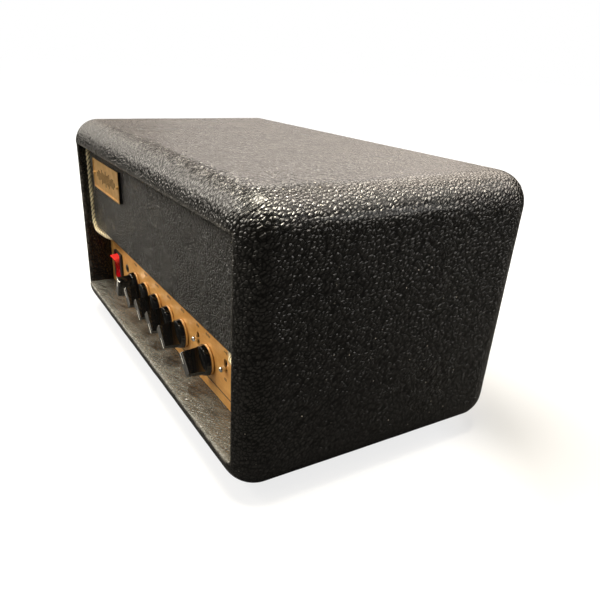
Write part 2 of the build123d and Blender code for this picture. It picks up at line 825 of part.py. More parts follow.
def bar_knob(name):
    """Skirted knob with a tapering bar grip and a groove for its pointer line."""
    x = knob_x[name]
    turn = knob_angles[name]
    back = front_plane(x, knob_back, control_z, turn)
    with BuildPart() as knob:
        post(back, skirt_radius, skirt_wall)
        with BuildSketch(back.offset(skirt_wall)) as skirt_disc:
            Circle(skirt_radius)
        with BuildSketch(back.offset(shoulder)) as shoulder_disc:
            Circle(shoulder_radius)
        loft([skirt_disc.sketch, shoulder_disc.sketch])
        with BuildSketch(back.offset(shoulder)) as bar_root:
            Circle(bar_root_half)
            Rectangle(bar_root_width, 4 * bar_root_half, mode=Mode.INTERSECT)
        with BuildSketch(back.offset(knob_length)) as bar_tip:
            Circle(bar_tip_half)
            Rectangle(bar_tip_width, 4 * bar_tip_half, mode=Mode.INTERSECT)
        loft([bar_root.sketch, bar_tip.sketch])
        fillet(knob.faces().sort_by(Axis.Y)[0].edges(), 0.6)
        post(back, knob_relief_radius, knob_relief, Mode.SUBTRACT)
        with BuildSketch(back) as bore:
            Circle(shaft_radius + bore_gap)
            with Locations((0, -flat_offset - bore_gap - shaft_radius)):
                Rectangle(4 * shaft_radius, 2 * shaft_radius, mode=Mode.SUBTRACT)
        extrude(bore.sketch, amount=bore_depth, mode=Mode.SUBTRACT)
        with BuildSketch(back) as round_bore:
            Circle(shaft_radius + bore_gap)
        extrude(round_bore.sketch, amount=round_bore_depth, mode=Mode.SUBTRACT)
        with BuildSketch(back.offset(knob_length)) as pointer:
            with Locations((0, bar_tip_half / 2 + 0.4)):
                Rectangle(pointer_width, bar_tip_half)
        extrude(pointer.sketch, amount=-pointer_depth, mode=Mode.SUBTRACT)
    save(knob.part, f"{name}_knob")


for name in knob_names:
    pot_shaft(name)
    bar_knob(name)

# ---------------------------------------------------------------- toggle switches

toggle_body_width = 6.8
toggle_body_height = 13.0
toggle_body_depth = 8.0
toggle_room_depth = 5.4
toggle_room_height = 8.0
toggle_room_width = 3.6
toggle_pin_pitch = 4.0
lever_pivot_y = chassis_inside + 3.4
lever_ball = 1.6
lever_neck = 1.3
lever_tip = 1.75
neck_rise = math.sqrt(lever_ball**2 - lever_neck**2)
lever_reach = 10.2
lever_leans = {"tight": 0.0, "bright": -11.0}

with BuildPart() as toggle_bodies:
    for x in toggle_places:
        back = front_plane(x, chassis_inside + toggle_body_depth, toggle_z)
        block(back, toggle_body_width, toggle_body_height, toggle_body_depth)
        room = front_plane(x, chassis_inside + toggle_room_depth, toggle_z)
        with BuildSketch(room) as lever_room:
            SlotOverall(toggle_room_height, toggle_room_width, rotation=90)
        extrude(lever_room.sketch, amount=toggle_room_depth, mode=Mode.SUBTRACT)
        for row in (-toggle_pin_pitch, 0.0, toggle_pin_pitch):
            pin = rear_plane(x, chassis_inside + toggle_body_depth, toggle_z + row)
            block(pin, 1.2, 0.6, 0.5)
save(toggle_bodies.part, "toggle_bodies")


def toggle_lever(name, x):
    """Turned bat lever that pivots on a ball inside the switch body."""
    angle = math.radians(lever_leans[name])
    aim = Plane(
        origin=(x, lever_pivot_y, toggle_z),
        x_dir=(1, 0, 0),
        z_dir=(0, -math.cos(angle), math.sin(angle)),
    )
    with BuildPart() as lever:
        with BuildSketch(Plane(aim.origin, x_dir=aim.x_dir, z_dir=-aim.y_dir)) as bat:
            with BuildLine():
                ThreePointArc((0, -lever_ball), (lever_ball, 0), (lever_neck, neck_rise))
                Line((lever_neck, neck_rise), (lever_tip, lever_reach - lever_tip))
                TangentArc((lever_tip, lever_reach - lever_tip), (0, lever_reach), tangent=(0, 1))
                Line((0, lever_reach), (0, -lever_ball))
            make_face()
        revolve(bat.sketch, axis=Axis(aim.origin, aim.z_dir))
    save(lever.part, f"{name}_toggle_lever")


for name, x in zip(lever_leans, toggle_places):
    toggle_lever(name, x)

# ---------------------------------------------------------------- circuit boards

board_thickness = 1.6
standoff_height = 8.0
standoff_width = 6.0
screw_inset = 5.0
board_screw_length = 7.0
board_under = deck + standoff_height
board_top = board_under + board_thickness
main_board_x = -5.0
main_board_y = 16.0
main_board_width = 232.0
main_board_depth = 92.0
screw_span_x = main_board_width / 2 - screw_inset
screw_span_y = main_board_depth / 2 - screw_inset
board_screw_places = [
    (main_board_x + side * screw_span_x, main_board_y + end * screw_span_y)
    for side in (-1, 1)
    for end in (-1, 1)
]

with BuildPart() as standoffs:
    for x, y in board_screw_places:
        hexagon(level_plane(x, y, deck), standoff_width, small_screw + bore_gap, standoff_height)
save(standoffs.part, "standoffs")

with BuildPart() as main_board:
    place = level_plane(main_board_x, main_board_y, board_under)
    block(place, main_board_width, main_board_depth, board_thickness, corner=2.0)
    for x, y in board_screw_places:
        post(level_plane(x, y, board_under), small_hole, board_thickness, Mode.SUBTRACT)
save(main_board.part, "main_board")

with BuildPart() as board_screws:
    for x, y in board_screw_places:
        head = level_plane(x, y, board_top)
        screw(head, small_screw, board_screw_length, small_head, small_head_rise)
save(board_screws.part, "board_screws")

# The control board stands upright behind the six potentiometers
control_board_front = chassis_inside + pot_depth
control_board_x = 12.0
control_board_width = 188.0
control_board_height = 24.0
with BuildPart() as control_board:
    back = front_plane(control_board_x, control_board_front + board_thickness, control_z)
    block(back, control_board_width, control_board_height, board_thickness, corner=1.0)
save(control_board.part, "control_board")

sink_x = 62.0
sink_y = 40.0
sink_width = 64.0
sink_base = 5.0
fin_length = 16.0
fin_width = 2.0
fin_count = 9
sink_height = 26.0
with BuildPart() as heatsink:
    place = level_plane(sink_x, sink_y, board_top)
    block(place, sink_width, sink_base, sink_height)
    fin_pitch = (sink_width - fin_width) / (fin_count - 1)
    for i in range(fin_count):
        fin_x = sink_x + (i - (fin_count - 1) / 2) * fin_pitch
        fin = level_plane(fin_x, sink_y + sink_base / 2 + fin_length / 2, board_top)
        block(fin, fin_width, fin_length, sink_height)
save(heatsink.part, "heatsink")

# Three flat power packages on legs, with their tabs against the heatsink
device_pitch = 20.0
device_width = 10.0
device_height = 9.0
device_thickness = 4.4
tab_height = 6.0
tab_thickness = 1.3
leg_height = 4.0
leg_pitch = 2.54
leg_width = 0.9
leg_thickness = 0.6
with BuildPart() as power_devices:
    for step in (-1, 0, 1):
        x = sink_x + step * device_pitch
        front = sink_y - sink_base / 2
        body = level_plane(x, front - device_thickness / 2, board_top + leg_height)
        block(body, device_width, device_thickness, device_height)
        tab = level_plane(x, front - tab_thickness / 2, board_top + leg_height + device_height)
        block(tab, device_width, tab_thickness, tab_height)
        for leg in (-leg_pitch, 0.0, leg_pitch):
            foot = level_plane(x + leg, front - device_thickness / 2, board_top)
            block(foot, leg_width, leg_thickness, leg_height)
save(power_devices.part, "power_devices")

# Two reservoir cans and a row of small ones
large_can_places = ((-92.0, 38.0), (-70.0, 38.0))
large_can_radius = 9.0
large_can_height = 30.0
small_can_x = -104.0
small_can_y = -2.0
small_can_pitch = 18.0
small_can_radius = 5.0
small_can_height = 16.0
small_can_count = 5
with BuildPart() as capacitors:
    for x, y in large_can_places:
        post(level_plane(x, y, board_top), large_can_radius, large_can_height)
    for i in range(small_can_count):
        place = level_plane(small_can_x + i * small_can_pitch, small_can_y, board_top)
        post(place, small_can_radius, small_can_height)
save(capacitors.part, "capacitors")

ring_radius = 8.0
ring_thickness = 4.3
ring_places = ((-20.0, 44.0), (6.0, 44.0))
with BuildPart() as output_inductors:
    for x, y in ring_places:
        with Locations((x, y, board_top + ring_thickness + 0.2)):
            Torus(ring_radius, ring_thickness)
save(output_inductors.part, "output_inductors")

# ---------------------------------------------------------------- sockets

jack_depth = 30.0
jack_width = 18.0
jack_height = 16.0
jack_bushing = 8.0
jack_bore_end = 2.0
jack_nut_width = 12.0
jack_nut_height = 2.4


def jack(outward):
    """Quarter-inch socket: a moulded body and a threaded bushing around one long bore."""
    inner = outward.offset(-jack_depth)
    block(inner, jack_width, jack_height, jack_depth, corner=1.5)
    post(outward, jack_bushing_radius, jack_bushing)
    bore = outward.offset(-jack_depth + jack_bore_end)
    post(bore, jack_bore_radius, jack_depth + jack_bushing, Mode.SUBTRACT)


with BuildPart() as input_jack:
    jack(front_plane(jack_x, chassis_inside, control_z))
save(input_jack.part, "input_jack")

with BuildPart() as rear_jacks:
    for x in rear_jack_places:
        jack(rear_plane(x, chassis_rear - sheet, rear_jack_z))
save(rear_jacks.part, "rear_jacks")

with BuildPart() as jack_nuts:
    front_seat = front_plane(jack_x, panel_front, control_z)
    hexagon(front_seat, jack_nut_width, jack_hole_radius, jack_nut_height)
    for x in rear_jack_places:
        rear_seat = rear_plane(x, chassis_rear, rear_jack_z)
        hexagon(rear_seat, jack_nut_width, jack_hole_radius, jack_nut_height)
save(jack_nuts.part, "jack_nuts")

with BuildPart() as dc_inlet:
    inner = rear_plane(dc_x, chassis_rear - dc_length, rear_jack_z)
    block(inner, dc_width - 0.4, dc_height - 0.4, dc_length + dc_proud)
    hole = rear_plane(dc_x, chassis_rear - dc_length + 3.0, rear_jack_z)
    post(hole, dc_hole_radius, dc_length, Mode.SUBTRACT)
    post(hole, dc_pin_radius, dc_length - 4.0)
save(dc_inlet.part, "dc_inlet")

# ---------------------------------------------------------------- wiring

# Flat cable that leaves the control board backwards and bends down to the main board
cable_x = -40.0
cable_width = 26.0
cable_thickness = 0.9
cable_start = (cable_x, control_board_front + board_thickness, control_z + 4.0)
cable_end = (cable_x, main_board_y - main_board_depth / 2 + 8.0, board_top)
with BuildPart() as ribbon_cable:
    with BuildLine() as cable_path:
        Spline(cable_start, cable_end, tangents=((0, 1, 0), (0, 0, -1)))
    with BuildSketch(Plane(origin=cable_start, x_dir=(1, 0, 0), z_dir=(0, 1, 0))) as cable_end_face:
        Rectangle(cable_width, cable_thickness)
    sweep(cable_end_face.sketch, path=cable_path.wires()[0])
save(ribbon_cable.part, "ribbon_cable")

# Two leads from the power inlet, over the boards and forward to the rocker's terminals
lead_radius = 0.9
lead_spread = 5.0
lead_rise = 37.0
with BuildPart() as power_leads:
    for side in (-1, 1):
        start = (dc_x + side * lead_spread / 2, chassis_rear - dc_length, rear_jack_z)
        ease = (dc_x - 6.0 + side * lead_spread / 2, 20.0, floor + lead_rise - 3.0)
        corner = (86.0, -34.0 - side * lead_spread / 2, floor + lead_rise)
        run = (-66.0, -37.0 - side * lead_spread / 2, floor + lead_rise)
        drop = (rocker_x, -30.0, rocker_z + side * lead_spread + 4.0)
        end = (rocker_x, panel_front + housing_depth + tag_length, rocker_z + side * lead_spread)
        with BuildLine() as lead_path:
            Spline(start, ease, corner, run, drop, end, tangents=((0, -1, 0), (0, -1, 0)))
        with BuildSketch(Plane(origin=start, z_dir=(0, -1, 0))) as lead_disc:
            Circle(lead_radius)
        sweep(lead_disc.sketch, path=lead_path.wires()[0])
save(power_leads.part, "power_leads")
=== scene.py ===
"""Looks of a compact guitar amplifier head: vinyl, cord, gold panel, knobs, print and studio."""

import json
import math

import bmesh
import bpy
import numpy as np
from mathutils import Matrix, Vector


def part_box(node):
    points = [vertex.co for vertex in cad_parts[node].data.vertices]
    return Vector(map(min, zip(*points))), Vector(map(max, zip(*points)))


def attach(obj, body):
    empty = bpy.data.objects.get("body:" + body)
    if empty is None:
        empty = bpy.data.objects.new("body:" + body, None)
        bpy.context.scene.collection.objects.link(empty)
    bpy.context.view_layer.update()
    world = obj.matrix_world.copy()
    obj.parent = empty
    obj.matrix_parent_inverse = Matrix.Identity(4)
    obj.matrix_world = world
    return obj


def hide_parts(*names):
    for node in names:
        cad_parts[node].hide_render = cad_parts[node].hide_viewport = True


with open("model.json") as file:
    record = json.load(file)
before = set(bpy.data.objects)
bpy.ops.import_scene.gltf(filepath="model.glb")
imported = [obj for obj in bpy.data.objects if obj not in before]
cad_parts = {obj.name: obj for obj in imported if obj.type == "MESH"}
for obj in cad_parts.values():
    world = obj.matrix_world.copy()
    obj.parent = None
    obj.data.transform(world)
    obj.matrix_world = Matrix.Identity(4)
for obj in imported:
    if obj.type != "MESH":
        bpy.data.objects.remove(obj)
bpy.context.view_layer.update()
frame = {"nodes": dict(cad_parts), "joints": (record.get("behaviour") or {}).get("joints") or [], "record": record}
nodes = frame["nodes"]
joints = {j["name"]: j for j in frame["joints"]}
MM = 0.001
ROOT = "cabinet"

# Half sizes of the cabinet and of its front and rear openings
covering_low, covering_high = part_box("cabinet_covering")
HALF_W = covering_high.x
HALF_D = covering_high.y
HALF_H = (covering_high.z - covering_low.z) / 2
MIDDLE_Z = (covering_high.z + covering_low.z) / 2
EDGE = 19.05 * MM
SIDE_FRAME = 13 * MM
TOP_FRAME = 19 * MM
OPEN_W = HALF_W - SIDE_FRAME
OPEN_H = HALF_H - TOP_FRAME

# ---------------------------------------------------------------- shader helpers


class Shader:
    """A small writer of node materials, in object space and in metres."""

    def __init__(self, name):
        self.material = bpy.data.materials.new(name)
        self.material.use_nodes = True
        self.tree = self.material.node_tree
        self.tree.nodes.clear()
        self.out = self.tree.nodes.new("ShaderNodeOutputMaterial")
        self.bsdf = self.tree.nodes.new("ShaderNodeBsdfPrincipled")
        self.link(self.bsdf.outputs[0], self.out.inputs[0])
        self.place = self.tree.nodes.new("ShaderNodeTexCoord").outputs["Object"]

    def link(self, source, target):
        """Join an output to an input."""
        self.tree.links.new(source, target)

    def feed(self, target, value):
        """Link a socket or set a plain value."""
        if isinstance(value, bpy.types.NodeSocket):
            self.link(value, target)
        elif value is not None:
            target.default_value = value

    def node(self, kind, **settings):
        """Add a node and set its own properties."""
        made = self.tree.nodes.new("ShaderNode" + kind)
        for key, value in settings.items():
            setattr(made, key, value)
        return made

    def stretch(self, longer, turn=(0, 0, 0), source=None):
        """Coordinates that draw a texture out along turned axes by the given factors."""
        mapping = self.node("Mapping", vector_type="TEXTURE")
        self.feed(mapping.inputs["Vector"], source or self.place)
        mapping.inputs["Rotation"].default_value = [math.radians(a) for a in turn]
        mapping.inputs["Scale"].default_value = longer
        return mapping.outputs[0]

    def noise(self, size, detail=2.0, rough=0.5, source=None):
        """Noise whose blobs are about size metres across."""
        made = self.node("TexNoise")
        self.feed(made.inputs["Vector"], source or self.place)
        made.inputs["Scale"].default_value = 1 / size
        made.inputs["Detail"].default_value = detail
        made.inputs["Roughness"].default_value = rough
        return made.outputs[0]

    def cells(self, size, feature="F1", source=None):
        """Distance to the middle of a random cell, or to its edge, with cells about size metres across."""
        made = self.node("TexVoronoi", feature=feature)
        self.feed(made.inputs["Vector"], source or self.place)
        made.inputs["Scale"].default_value = 1 / size
        if feature == "SMOOTH_F1":
            made.inputs["Smoothness"].default_value = 0.5
        return made.outputs["Distance"]

    def math(self, kind, a, b=0.5, c=None):
        """One arithmetic step on sockets or numbers."""
        made = self.node("Math", operation=kind)
        self.feed(made.inputs[0], a)
        self.feed(made.inputs[1], b)
        if c is not None:
            self.feed(made.inputs[2], c)
        return made.outputs[0]

    def span(self, value, low, high, start=0.0, end=1.0, smooth=False):
        """Map value from low..high to start..end and clamp it."""
        made = self.node("MapRange", interpolation_type="SMOOTHSTEP" if smooth else "LINEAR")
        for i, part in enumerate((value, low, high, start, end)):
            self.feed(made.inputs[i], part)
        return made.outputs[0]

    def blend(self, share, first, second):
        """Mix two colours."""
        made = self.node("Mix", data_type="RGBA")
        self.feed(made.inputs[0], share)
        for target, colour in ((made.inputs[6], first), (made.inputs[7], second)):
            self.feed(target, tuple(colour) + (1,) if isinstance(colour, (tuple, list)) else colour)
        return made.outputs[2]

    def part(self, axis, source=None):
        """One coordinate of a vector."""
        made = self.node("SeparateXYZ")
        self.feed(made.inputs[0], source or self.place)
        return made.outputs["XYZ".index(axis)]

    def moved(self, size, amount):
        """Object coordinates pushed about by noise of the given size, up to half of amount each way."""
        wobble = self.node("TexNoise")
        self.link(self.place, wobble.inputs["Vector"])
        wobble.inputs["Scale"].default_value = 1 / size
        centre = self.node("VectorMath", operation="SUBTRACT")
        self.link(wobble.outputs[1], centre.inputs[0])
        centre.inputs[1].default_value = (0.5, 0.5, 0.5)
        push = self.node("VectorMath", operation="SCALE")
        self.link(centre.outputs[0], push.inputs[0])
        push.inputs["Scale"].default_value = amount
        total = self.node("VectorMath", operation="ADD")
        self.link(push.outputs[0], total.inputs[0])
        self.link(self.place, total.inputs[1])
        return total.outputs[0]

    def bump(self, height, depth, strength=1.0, under=None):
        """Normal of a height field that is depth metres deep, over the normal under it."""
        made = self.node("Bump")
        made.inputs["Strength"].default_value = strength
        made.inputs["Distance"].default_value = depth
        self.feed(made.inputs["Height"], height)
        if under is not None:
            self.link(under, made.inputs["Normal"])
        return made.outputs[0]

    def surface(self, **values):
        """Set Principled inputs by name with underscores for blanks."""
        for key, value in values.items():
            if isinstance(value, (tuple, list)) and len(value) == 3:
                value = tuple(value) + (1,)
            self.feed(self.bsdf.inputs[key.replace("_", " ")], value)
        return self.material


# ---------------------------------------------------------------- materials

VENEER = 1.6 * MM
WIRE_BANDS = 190
RIBBON_BANDS = 125


def rim_highlight(s):
    """How near a point is to the front and rear rims of the two openings, from 0 to 1, where a painted highlight
    lightens them.
    """
    x = s.math("SUBTRACT", s.math("ABSOLUTE", s.part("X")), OPEN_W)
    z = s.math("SUBTRACT", s.math("ABSOLUTE", s.math("SUBTRACT", s.part("Z"), MIDDLE_Z)), OPEN_H)
    y = s.math("SUBTRACT", HALF_D, s.math("ABSOLUTE", s.part("Y")))
    away = s.math("ABSOLUTE", s.math("MAXIMUM", x, z))
    rim = s.span(s.math("ADD", away, s.math("MULTIPLY", y, 0.6)), 0.9 * MM, 3.2 * MM, 1.0, 0.0, True)
    return s.math("MULTIPLY", rim, s.span(s.noise(7 * MM, 4, 0.65), 0.38, 0.62))


def dust_and_glint_share(s, patch):
    """How dusty a point is: sparse specks in the dull patches, and finer pale dots on the faces that look up,
    which are settled dust and painted glints.
    """
    specks = s.span(s.cells(6.5 * MM), 0.04, 0.065, 0.7, 0.0)
    specks = s.math("MULTIPLY", specks, s.span(patch, 0.42, 0.6))
    upward = s.span(s.part("Z", s.node("NewGeometry").outputs["Normal"]), 0.7, 0.95)
    # Settled dust on upward faces, pale and dense enough to act as painted glints too.
    settled_dust_and_glints = s.span(s.cells(3.4 * MM), 0.07, 0.1, 0.9, 0.0)
    settled_dust_and_glints = s.math("MULTIPLY", settled_dust_and_glints, s.span(s.noise(30 * MM, 3, 0.6), 0.4, 0.6))
    return s.math("MAXIMUM", specks, s.math("MULTIPLY", settled_dust_and_glints, upward))


def floor_streak_share(s):
    """How much lighter a point is: streaks along the floor of the two openings."""
    level = s.math("ABSOLUTE", s.math("SUBTRACT", s.part("Z"), MIDDLE_Z - OPEN_H))
    inside = s.math("LESS_THAN", s.math("ABSOLUTE", s.part("X")), OPEN_W - 0.5 * MM)
    streak = s.noise(3 * MM, 4, 0.65, s.stretch((5, 1, 1), (0, 0, 20)))
    floor = s.math("MULTIPLY", s.span(level, 0.6 * MM, 1.4 * MM, 1.0, 0.0), inside)
    return s.math("MULTIPLY", floor, s.span(streak, 0.32, 0.68, 0.25, 1.0))


def vinyl(name, dark, light, pebble, depth, gloss, turn, longer, worn=False):
    """Embossed vinyl: rounded pebbles between creases that are darker and shine less as painted shade, with dull
    patches, dust, and pale dots that are partly painted glints.

    The pebbles are longer along one axis, turned by the given angles. Worn vinyl has lighter streaks on the floor
    of the openings and a painted highlight along their rims.
    """
    s = Shader(name)
    wander = s.moved(6 * MM, 0.9 * MM)
    grain = s.stretch((1.0, longer, 1.0), turn, wander)
    crease = s.cells(pebble, "DISTANCE_TO_EDGE", grain)
    dome = s.cells(pebble, "SMOOTH_F1", grain)
    fine = s.noise(pebble / 3.2, 2, 0.55, wander)
    edge = s.span(crease, 0.0, 0.34, 0, 1, True)
    height = s.math("MULTIPLY_ADD", edge, 0.42, s.math("MULTIPLY", dome, -0.75))
    height = s.math("MULTIPLY_ADD", fine, 0.3, height)
    swell = s.noise(26 * MM, 2)
    patch = s.noise(45 * MM, 4, 0.6)
    tone = s.blend(s.span(patch, 0.35, 0.7), dark, light)
    # Painted shade: the creases are darkened in colour.
    tone = s.blend(s.span(edge, 0.0, 1.0, 0.6, 0.0), tone, tuple(c * 0.3 for c in dark))
    # Pale specks of dust, and on upward faces pale dots that are dust and painted glints.
    tone = s.blend(dust_and_glint_share(s, patch), tone, (0.6, 0.56, 0.48))
    if worn:
        # Lighter streaks along the floor of the two openings.
        tone = s.blend(floor_streak_share(s), tone, (0.085, 0.084, 0.073))
        # Painted highlight: the rims of the openings are lightened.
        tone = s.blend(s.math("MULTIPLY", rim_highlight(s), 0.5), tone, (0.15, 0.14, 0.125))
    rough = s.span(patch, 0.3, 0.75, gloss - 0.05, gloss + 0.07)
    # Painted shade: the creases get less specular shine and less coat.
    shine = s.span(crease, 0.02, 0.2, 0.14, 0.66, True)
    return s.surface(
        Base_Color=tone,
        Roughness=s.math("MULTIPLY_ADD", fine, 0.06, rough),
        Normal=s.bump(height, depth, 1.0, s.bump(swell, 0.12 * MM)),
        Specular_IOR_Level=shine,
        Coat_Weight=s.math("MULTIPLY", shine, 0.3),
        Coat_Roughness=0.15,
    )


def wood_grain(s):
    """Long figure and pores of the face veneer."""
    figure = s.noise(9 * MM, 5, 0.6, s.stretch((8, 1, 1), source=s.moved(60 * MM, 8 * MM)))
    pores = s.noise(0.9 * MM, 2, 0.7, s.stretch((16, 1, 1)))
    return figure, pores


def plywood(name, light, dark):
    """Birch plywood with long figure, pores and layered edges."""
    s = Shader(name)
    figure, pores = wood_grain(s)
    layer = s.node("TexWave", wave_type="BANDS", bands_direction="Z")
    s.feed(layer.inputs["Vector"], s.place)
    layer.inputs["Scale"].default_value = 1 / (2 * math.pi * VENEER) / 2
    layer.inputs["Distortion"].default_value = 0.6
    tone = s.blend(s.span(figure, 0.3, 0.7), light, dark)
    tone = s.blend(s.math("MULTIPLY", layer.outputs[1], 0.25), tone, tuple(c * 0.6 for c in dark))
    height = s.math("MULTIPLY_ADD", pores, 0.5, figure)
    rough = s.span(pores, 0.3, 0.7, 0.5, 0.72)
    return s.surface(Base_Color=tone, Roughness=rough, Normal=s.bump(height, 0.25 * MM, 0.7))


def painted_plywood(name):
    """Plywood under rolled black paint that has worn thin in places."""
    s = Shader(name)
    figure, pores = wood_grain(s)
    roll = s.noise(2.2 * MM, 3, 0.6)
    paint = s.blend(roll, (0.012, 0.012, 0.012), (0.022, 0.021, 0.02))
    worn = s.span(s.noise(14 * MM, 5, 0.7), 0.66, 0.74, 0.0, 0.35)
    height = s.math("MULTIPLY_ADD", figure, 0.35, roll)
    return s.surface(
        Base_Color=s.blend(worn, paint, (0.05, 0.045, 0.04)),
        Roughness=s.span(pores, 0.3, 0.7, 0.5, 0.72),
        Normal=s.bump(height, 0.25 * MM, 0.7),
    )


def metal(name, colour, rough, grain=(1, 1, 1), wear=0.15, depth=0.02):
    """Bare or anodised metal with directional brushing, smudges and tiny pits."""
    s = Shader(name)
    brush = s.noise(0.5 * MM, 4, 0.65, s.stretch(grain))
    smudge = s.noise(18 * MM, 4, 0.55)
    pits = s.cells(2.6 * MM)
    tone = s.blend(s.span(smudge, 0.3, 0.75), colour, tuple(c * 0.82 for c in colour))
    tone = s.blend(s.span(brush, 0.35, 0.7, 0.0, 0.25), tone, tuple(c * 0.7 for c in colour))
    level = s.span(smudge, 0.3, 0.7, rough - wear / 2, rough + wear)
    level = s.math("MULTIPLY_ADD", brush, 0.12, level)
    height = s.math("MULTIPLY_ADD", s.span(pits, 0.0, 0.12), 0.3, brush)
    return s.surface(
        Base_Color=tone,
        Metallic=1.0,
        Roughness=level,
        Normal=s.bump(height, depth * MM, 0.6),
    )


def plastic(name, colour, rough, coat=0.0, speckle=0.06, depth=0.03):
    """Moulded plastic with faint texture, dust and handling marks."""
    s = Shader(name)
    fine = s.noise(0.6 * MM, 3, 0.6)
    flow = s.noise(11 * MM, 3, 0.5)
    dust = s.span(s.noise(1.1 * MM, 2, 0.6), 0.68, 0.8, 0.0, speckle)
    tone = s.blend(s.span(flow, 0.3, 0.7), colour, tuple(c * 1.35 + 0.002 for c in colour))
    tone = s.blend(dust, tone, (0.35, 0.34, 0.32))
    scuff = s.noise(5 * MM, 5, 0.7, s.stretch((3.3, 1, 1), (10, 20, 35)))
    return s.surface(
        Base_Color=tone,
        Roughness=s.span(scuff, 0.35, 0.75, rough, rough + 0.12),
        Normal=s.bump(fine, depth * MM, 0.6),
        Coat_Weight=coat,
        Coat_Roughness=0.05,
    )


def knob_gloss(name, foot_y):
    """Glossy black moulding with soft edges, fine scratches and a thin gold band round the skirt's foot, a painted
    reflection of the gold panel.
    """
    s = Shader(name)
    # Painted reflection: a thin gold band at the skirt's foot stands for the gold panel mirrored in the skirt.
    ring = s.span(s.part("Y"), foot_y - 1.35 * MM, foot_y - 1.25 * MM)
    scratch = s.noise(1.4 * MM, 5, 0.7, s.stretch((6, 1, 1), (20, 40, 30)))
    dust = s.span(s.noise(0.9 * MM, 2, 0.6), 0.7, 0.8, 0.0, 0.04)
    tone = s.blend(dust, (0.004, 0.004, 0.004), (0.35, 0.34, 0.32))
    tone = s.blend(ring, tone, s.blend(scratch, (0.95, 0.8, 0.5), (0.85, 0.62, 0.3)))
    rounded = s.node("Bevel", samples=6)
    rounded.inputs["Radius"].default_value = 0.7 * MM
    return s.surface(
        Base_Color=tone,
        Metallic=s.math("MULTIPLY", ring, 0.5),
        Roughness=s.math("MULTIPLY_ADD", ring, 0.14, s.span(scratch, 0.4, 0.75, 0.04, 0.12)),
        Coat_Weight=1.0,
        Coat_IOR=1.9,
        Coat_Roughness=0.04,
        Normal=s.bump(scratch, 0.012 * MM, 0.6, rounded.outputs[0]),
    )


def powder_coat(name, colour):
    """Fine orange-peel powder coating."""
    s = Shader(name)
    peel = s.noise(0.9 * MM, 3, 0.55)
    patch = s.noise(20 * MM, 3)
    tone = s.blend(s.span(patch, 0.3, 0.7), colour, tuple(c * 1.7 for c in colour))
    return s.surface(
        Base_Color=tone,
        Roughness=s.span(peel, 0.3, 0.7, 0.42, 0.58),
        Normal=s.bump(peel, 0.12 * MM, 0.8),
    )


def gold_panel(name):
    """Gold anodised plate, brushed along its length, with warm stains and fine scratches."""
    s = Shader(name)
    brush = s.noise(0.35 * MM, 4, 0.7, s.stretch((50, 1, 1)))
    stain = s.noise(9 * MM, 5, 0.62, s.stretch((2, 1, 1)))
    scratch = s.cells(9 * MM, "DISTANCE_TO_EDGE", s.stretch((4, 1, 0.5), (0, 24, 0)))
    tone = s.blend(s.span(stain, 0.32, 0.68), (1.0, 0.56, 0.17), (0.74, 0.34, 0.08))
    tone = s.blend(s.span(brush, 0.3, 0.72, 0.0, 0.4), tone, (0.55, 0.25, 0.06))
    tone = s.blend(s.span(scratch, 0.0, 0.012, 0.3, 0.0), tone, (0.95, 0.72, 0.4))
    rough = s.span(stain, 0.3, 0.7, 0.3, 0.42)
    rough = s.math("MULTIPLY_ADD", brush, 0.1, rough)
    return s.surface(Base_Color=tone, Metallic=0.3, Roughness=rough, Normal=s.bump(brush, 0.03 * MM, 0.7))


def badge_metal(name, front):
    """Satin brass that is black everywhere well behind its front face: in the filled engraving, and on the plate's
    sides as painted shade.
    """
    s = Shader(name)
    depth = s.math("SUBTRACT", s.part("Y"), front)
    # Black below 0.42 mm: the engraving's fill, and painted shade on the plate's sides.
    black_fill_and_side_shade = s.span(depth, 0.42 * MM, 0.5 * MM)
    brush = s.noise(0.4 * MM, 4, 0.7, s.stretch((16, 1, 1)))
    stain = s.noise(7 * MM, 4, 0.6)
    tone = s.blend(s.span(stain, 0.3, 0.7), (0.86, 0.52, 0.18), (0.6, 0.34, 0.1))
    tone = s.blend(s.span(brush, 0.35, 0.7, 0.0, 0.3), tone, (0.4, 0.24, 0.08))
    tone = s.blend(black_fill_and_side_shade, tone, (0.008, 0.007, 0.006))
    return s.surface(
        Base_Color=tone,
        Metallic=s.math("MULTIPLY", s.math("SUBTRACT", 1.0, black_fill_and_side_shade), 0.75),
        Roughness=s.span(stain, 0.3, 0.7, 0.3, 0.42),
        Normal=s.bump(brush, 0.03 * MM, 0.7),
    )


def yarn(name, colour, shade, sheen):
    """Spun cord yarn: fine fibres along the strand."""
    s = Shader(name)
    fibre = s.noise(0.28 * MM, 3, 0.7, s.moved(1.2 * MM, 0.5 * MM))
    worn = s.noise(9 * MM, 3, 0.6)
    tone = s.blend(s.span(fibre, 0.35, 0.7), colour, shade)
    tone = s.blend(s.span(worn, 0.5, 0.75, 0.0, 0.5), tone, tuple(c * 0.6 for c in shade))
    return s.surface(
        Base_Color=tone,
        Roughness=s.span(fibre, 0.3, 0.7, 0.45, 0.7),
        Sheen_Weight=sheen,
        Normal=s.bump(fibre, 0.12 * MM, 0.9),
    )


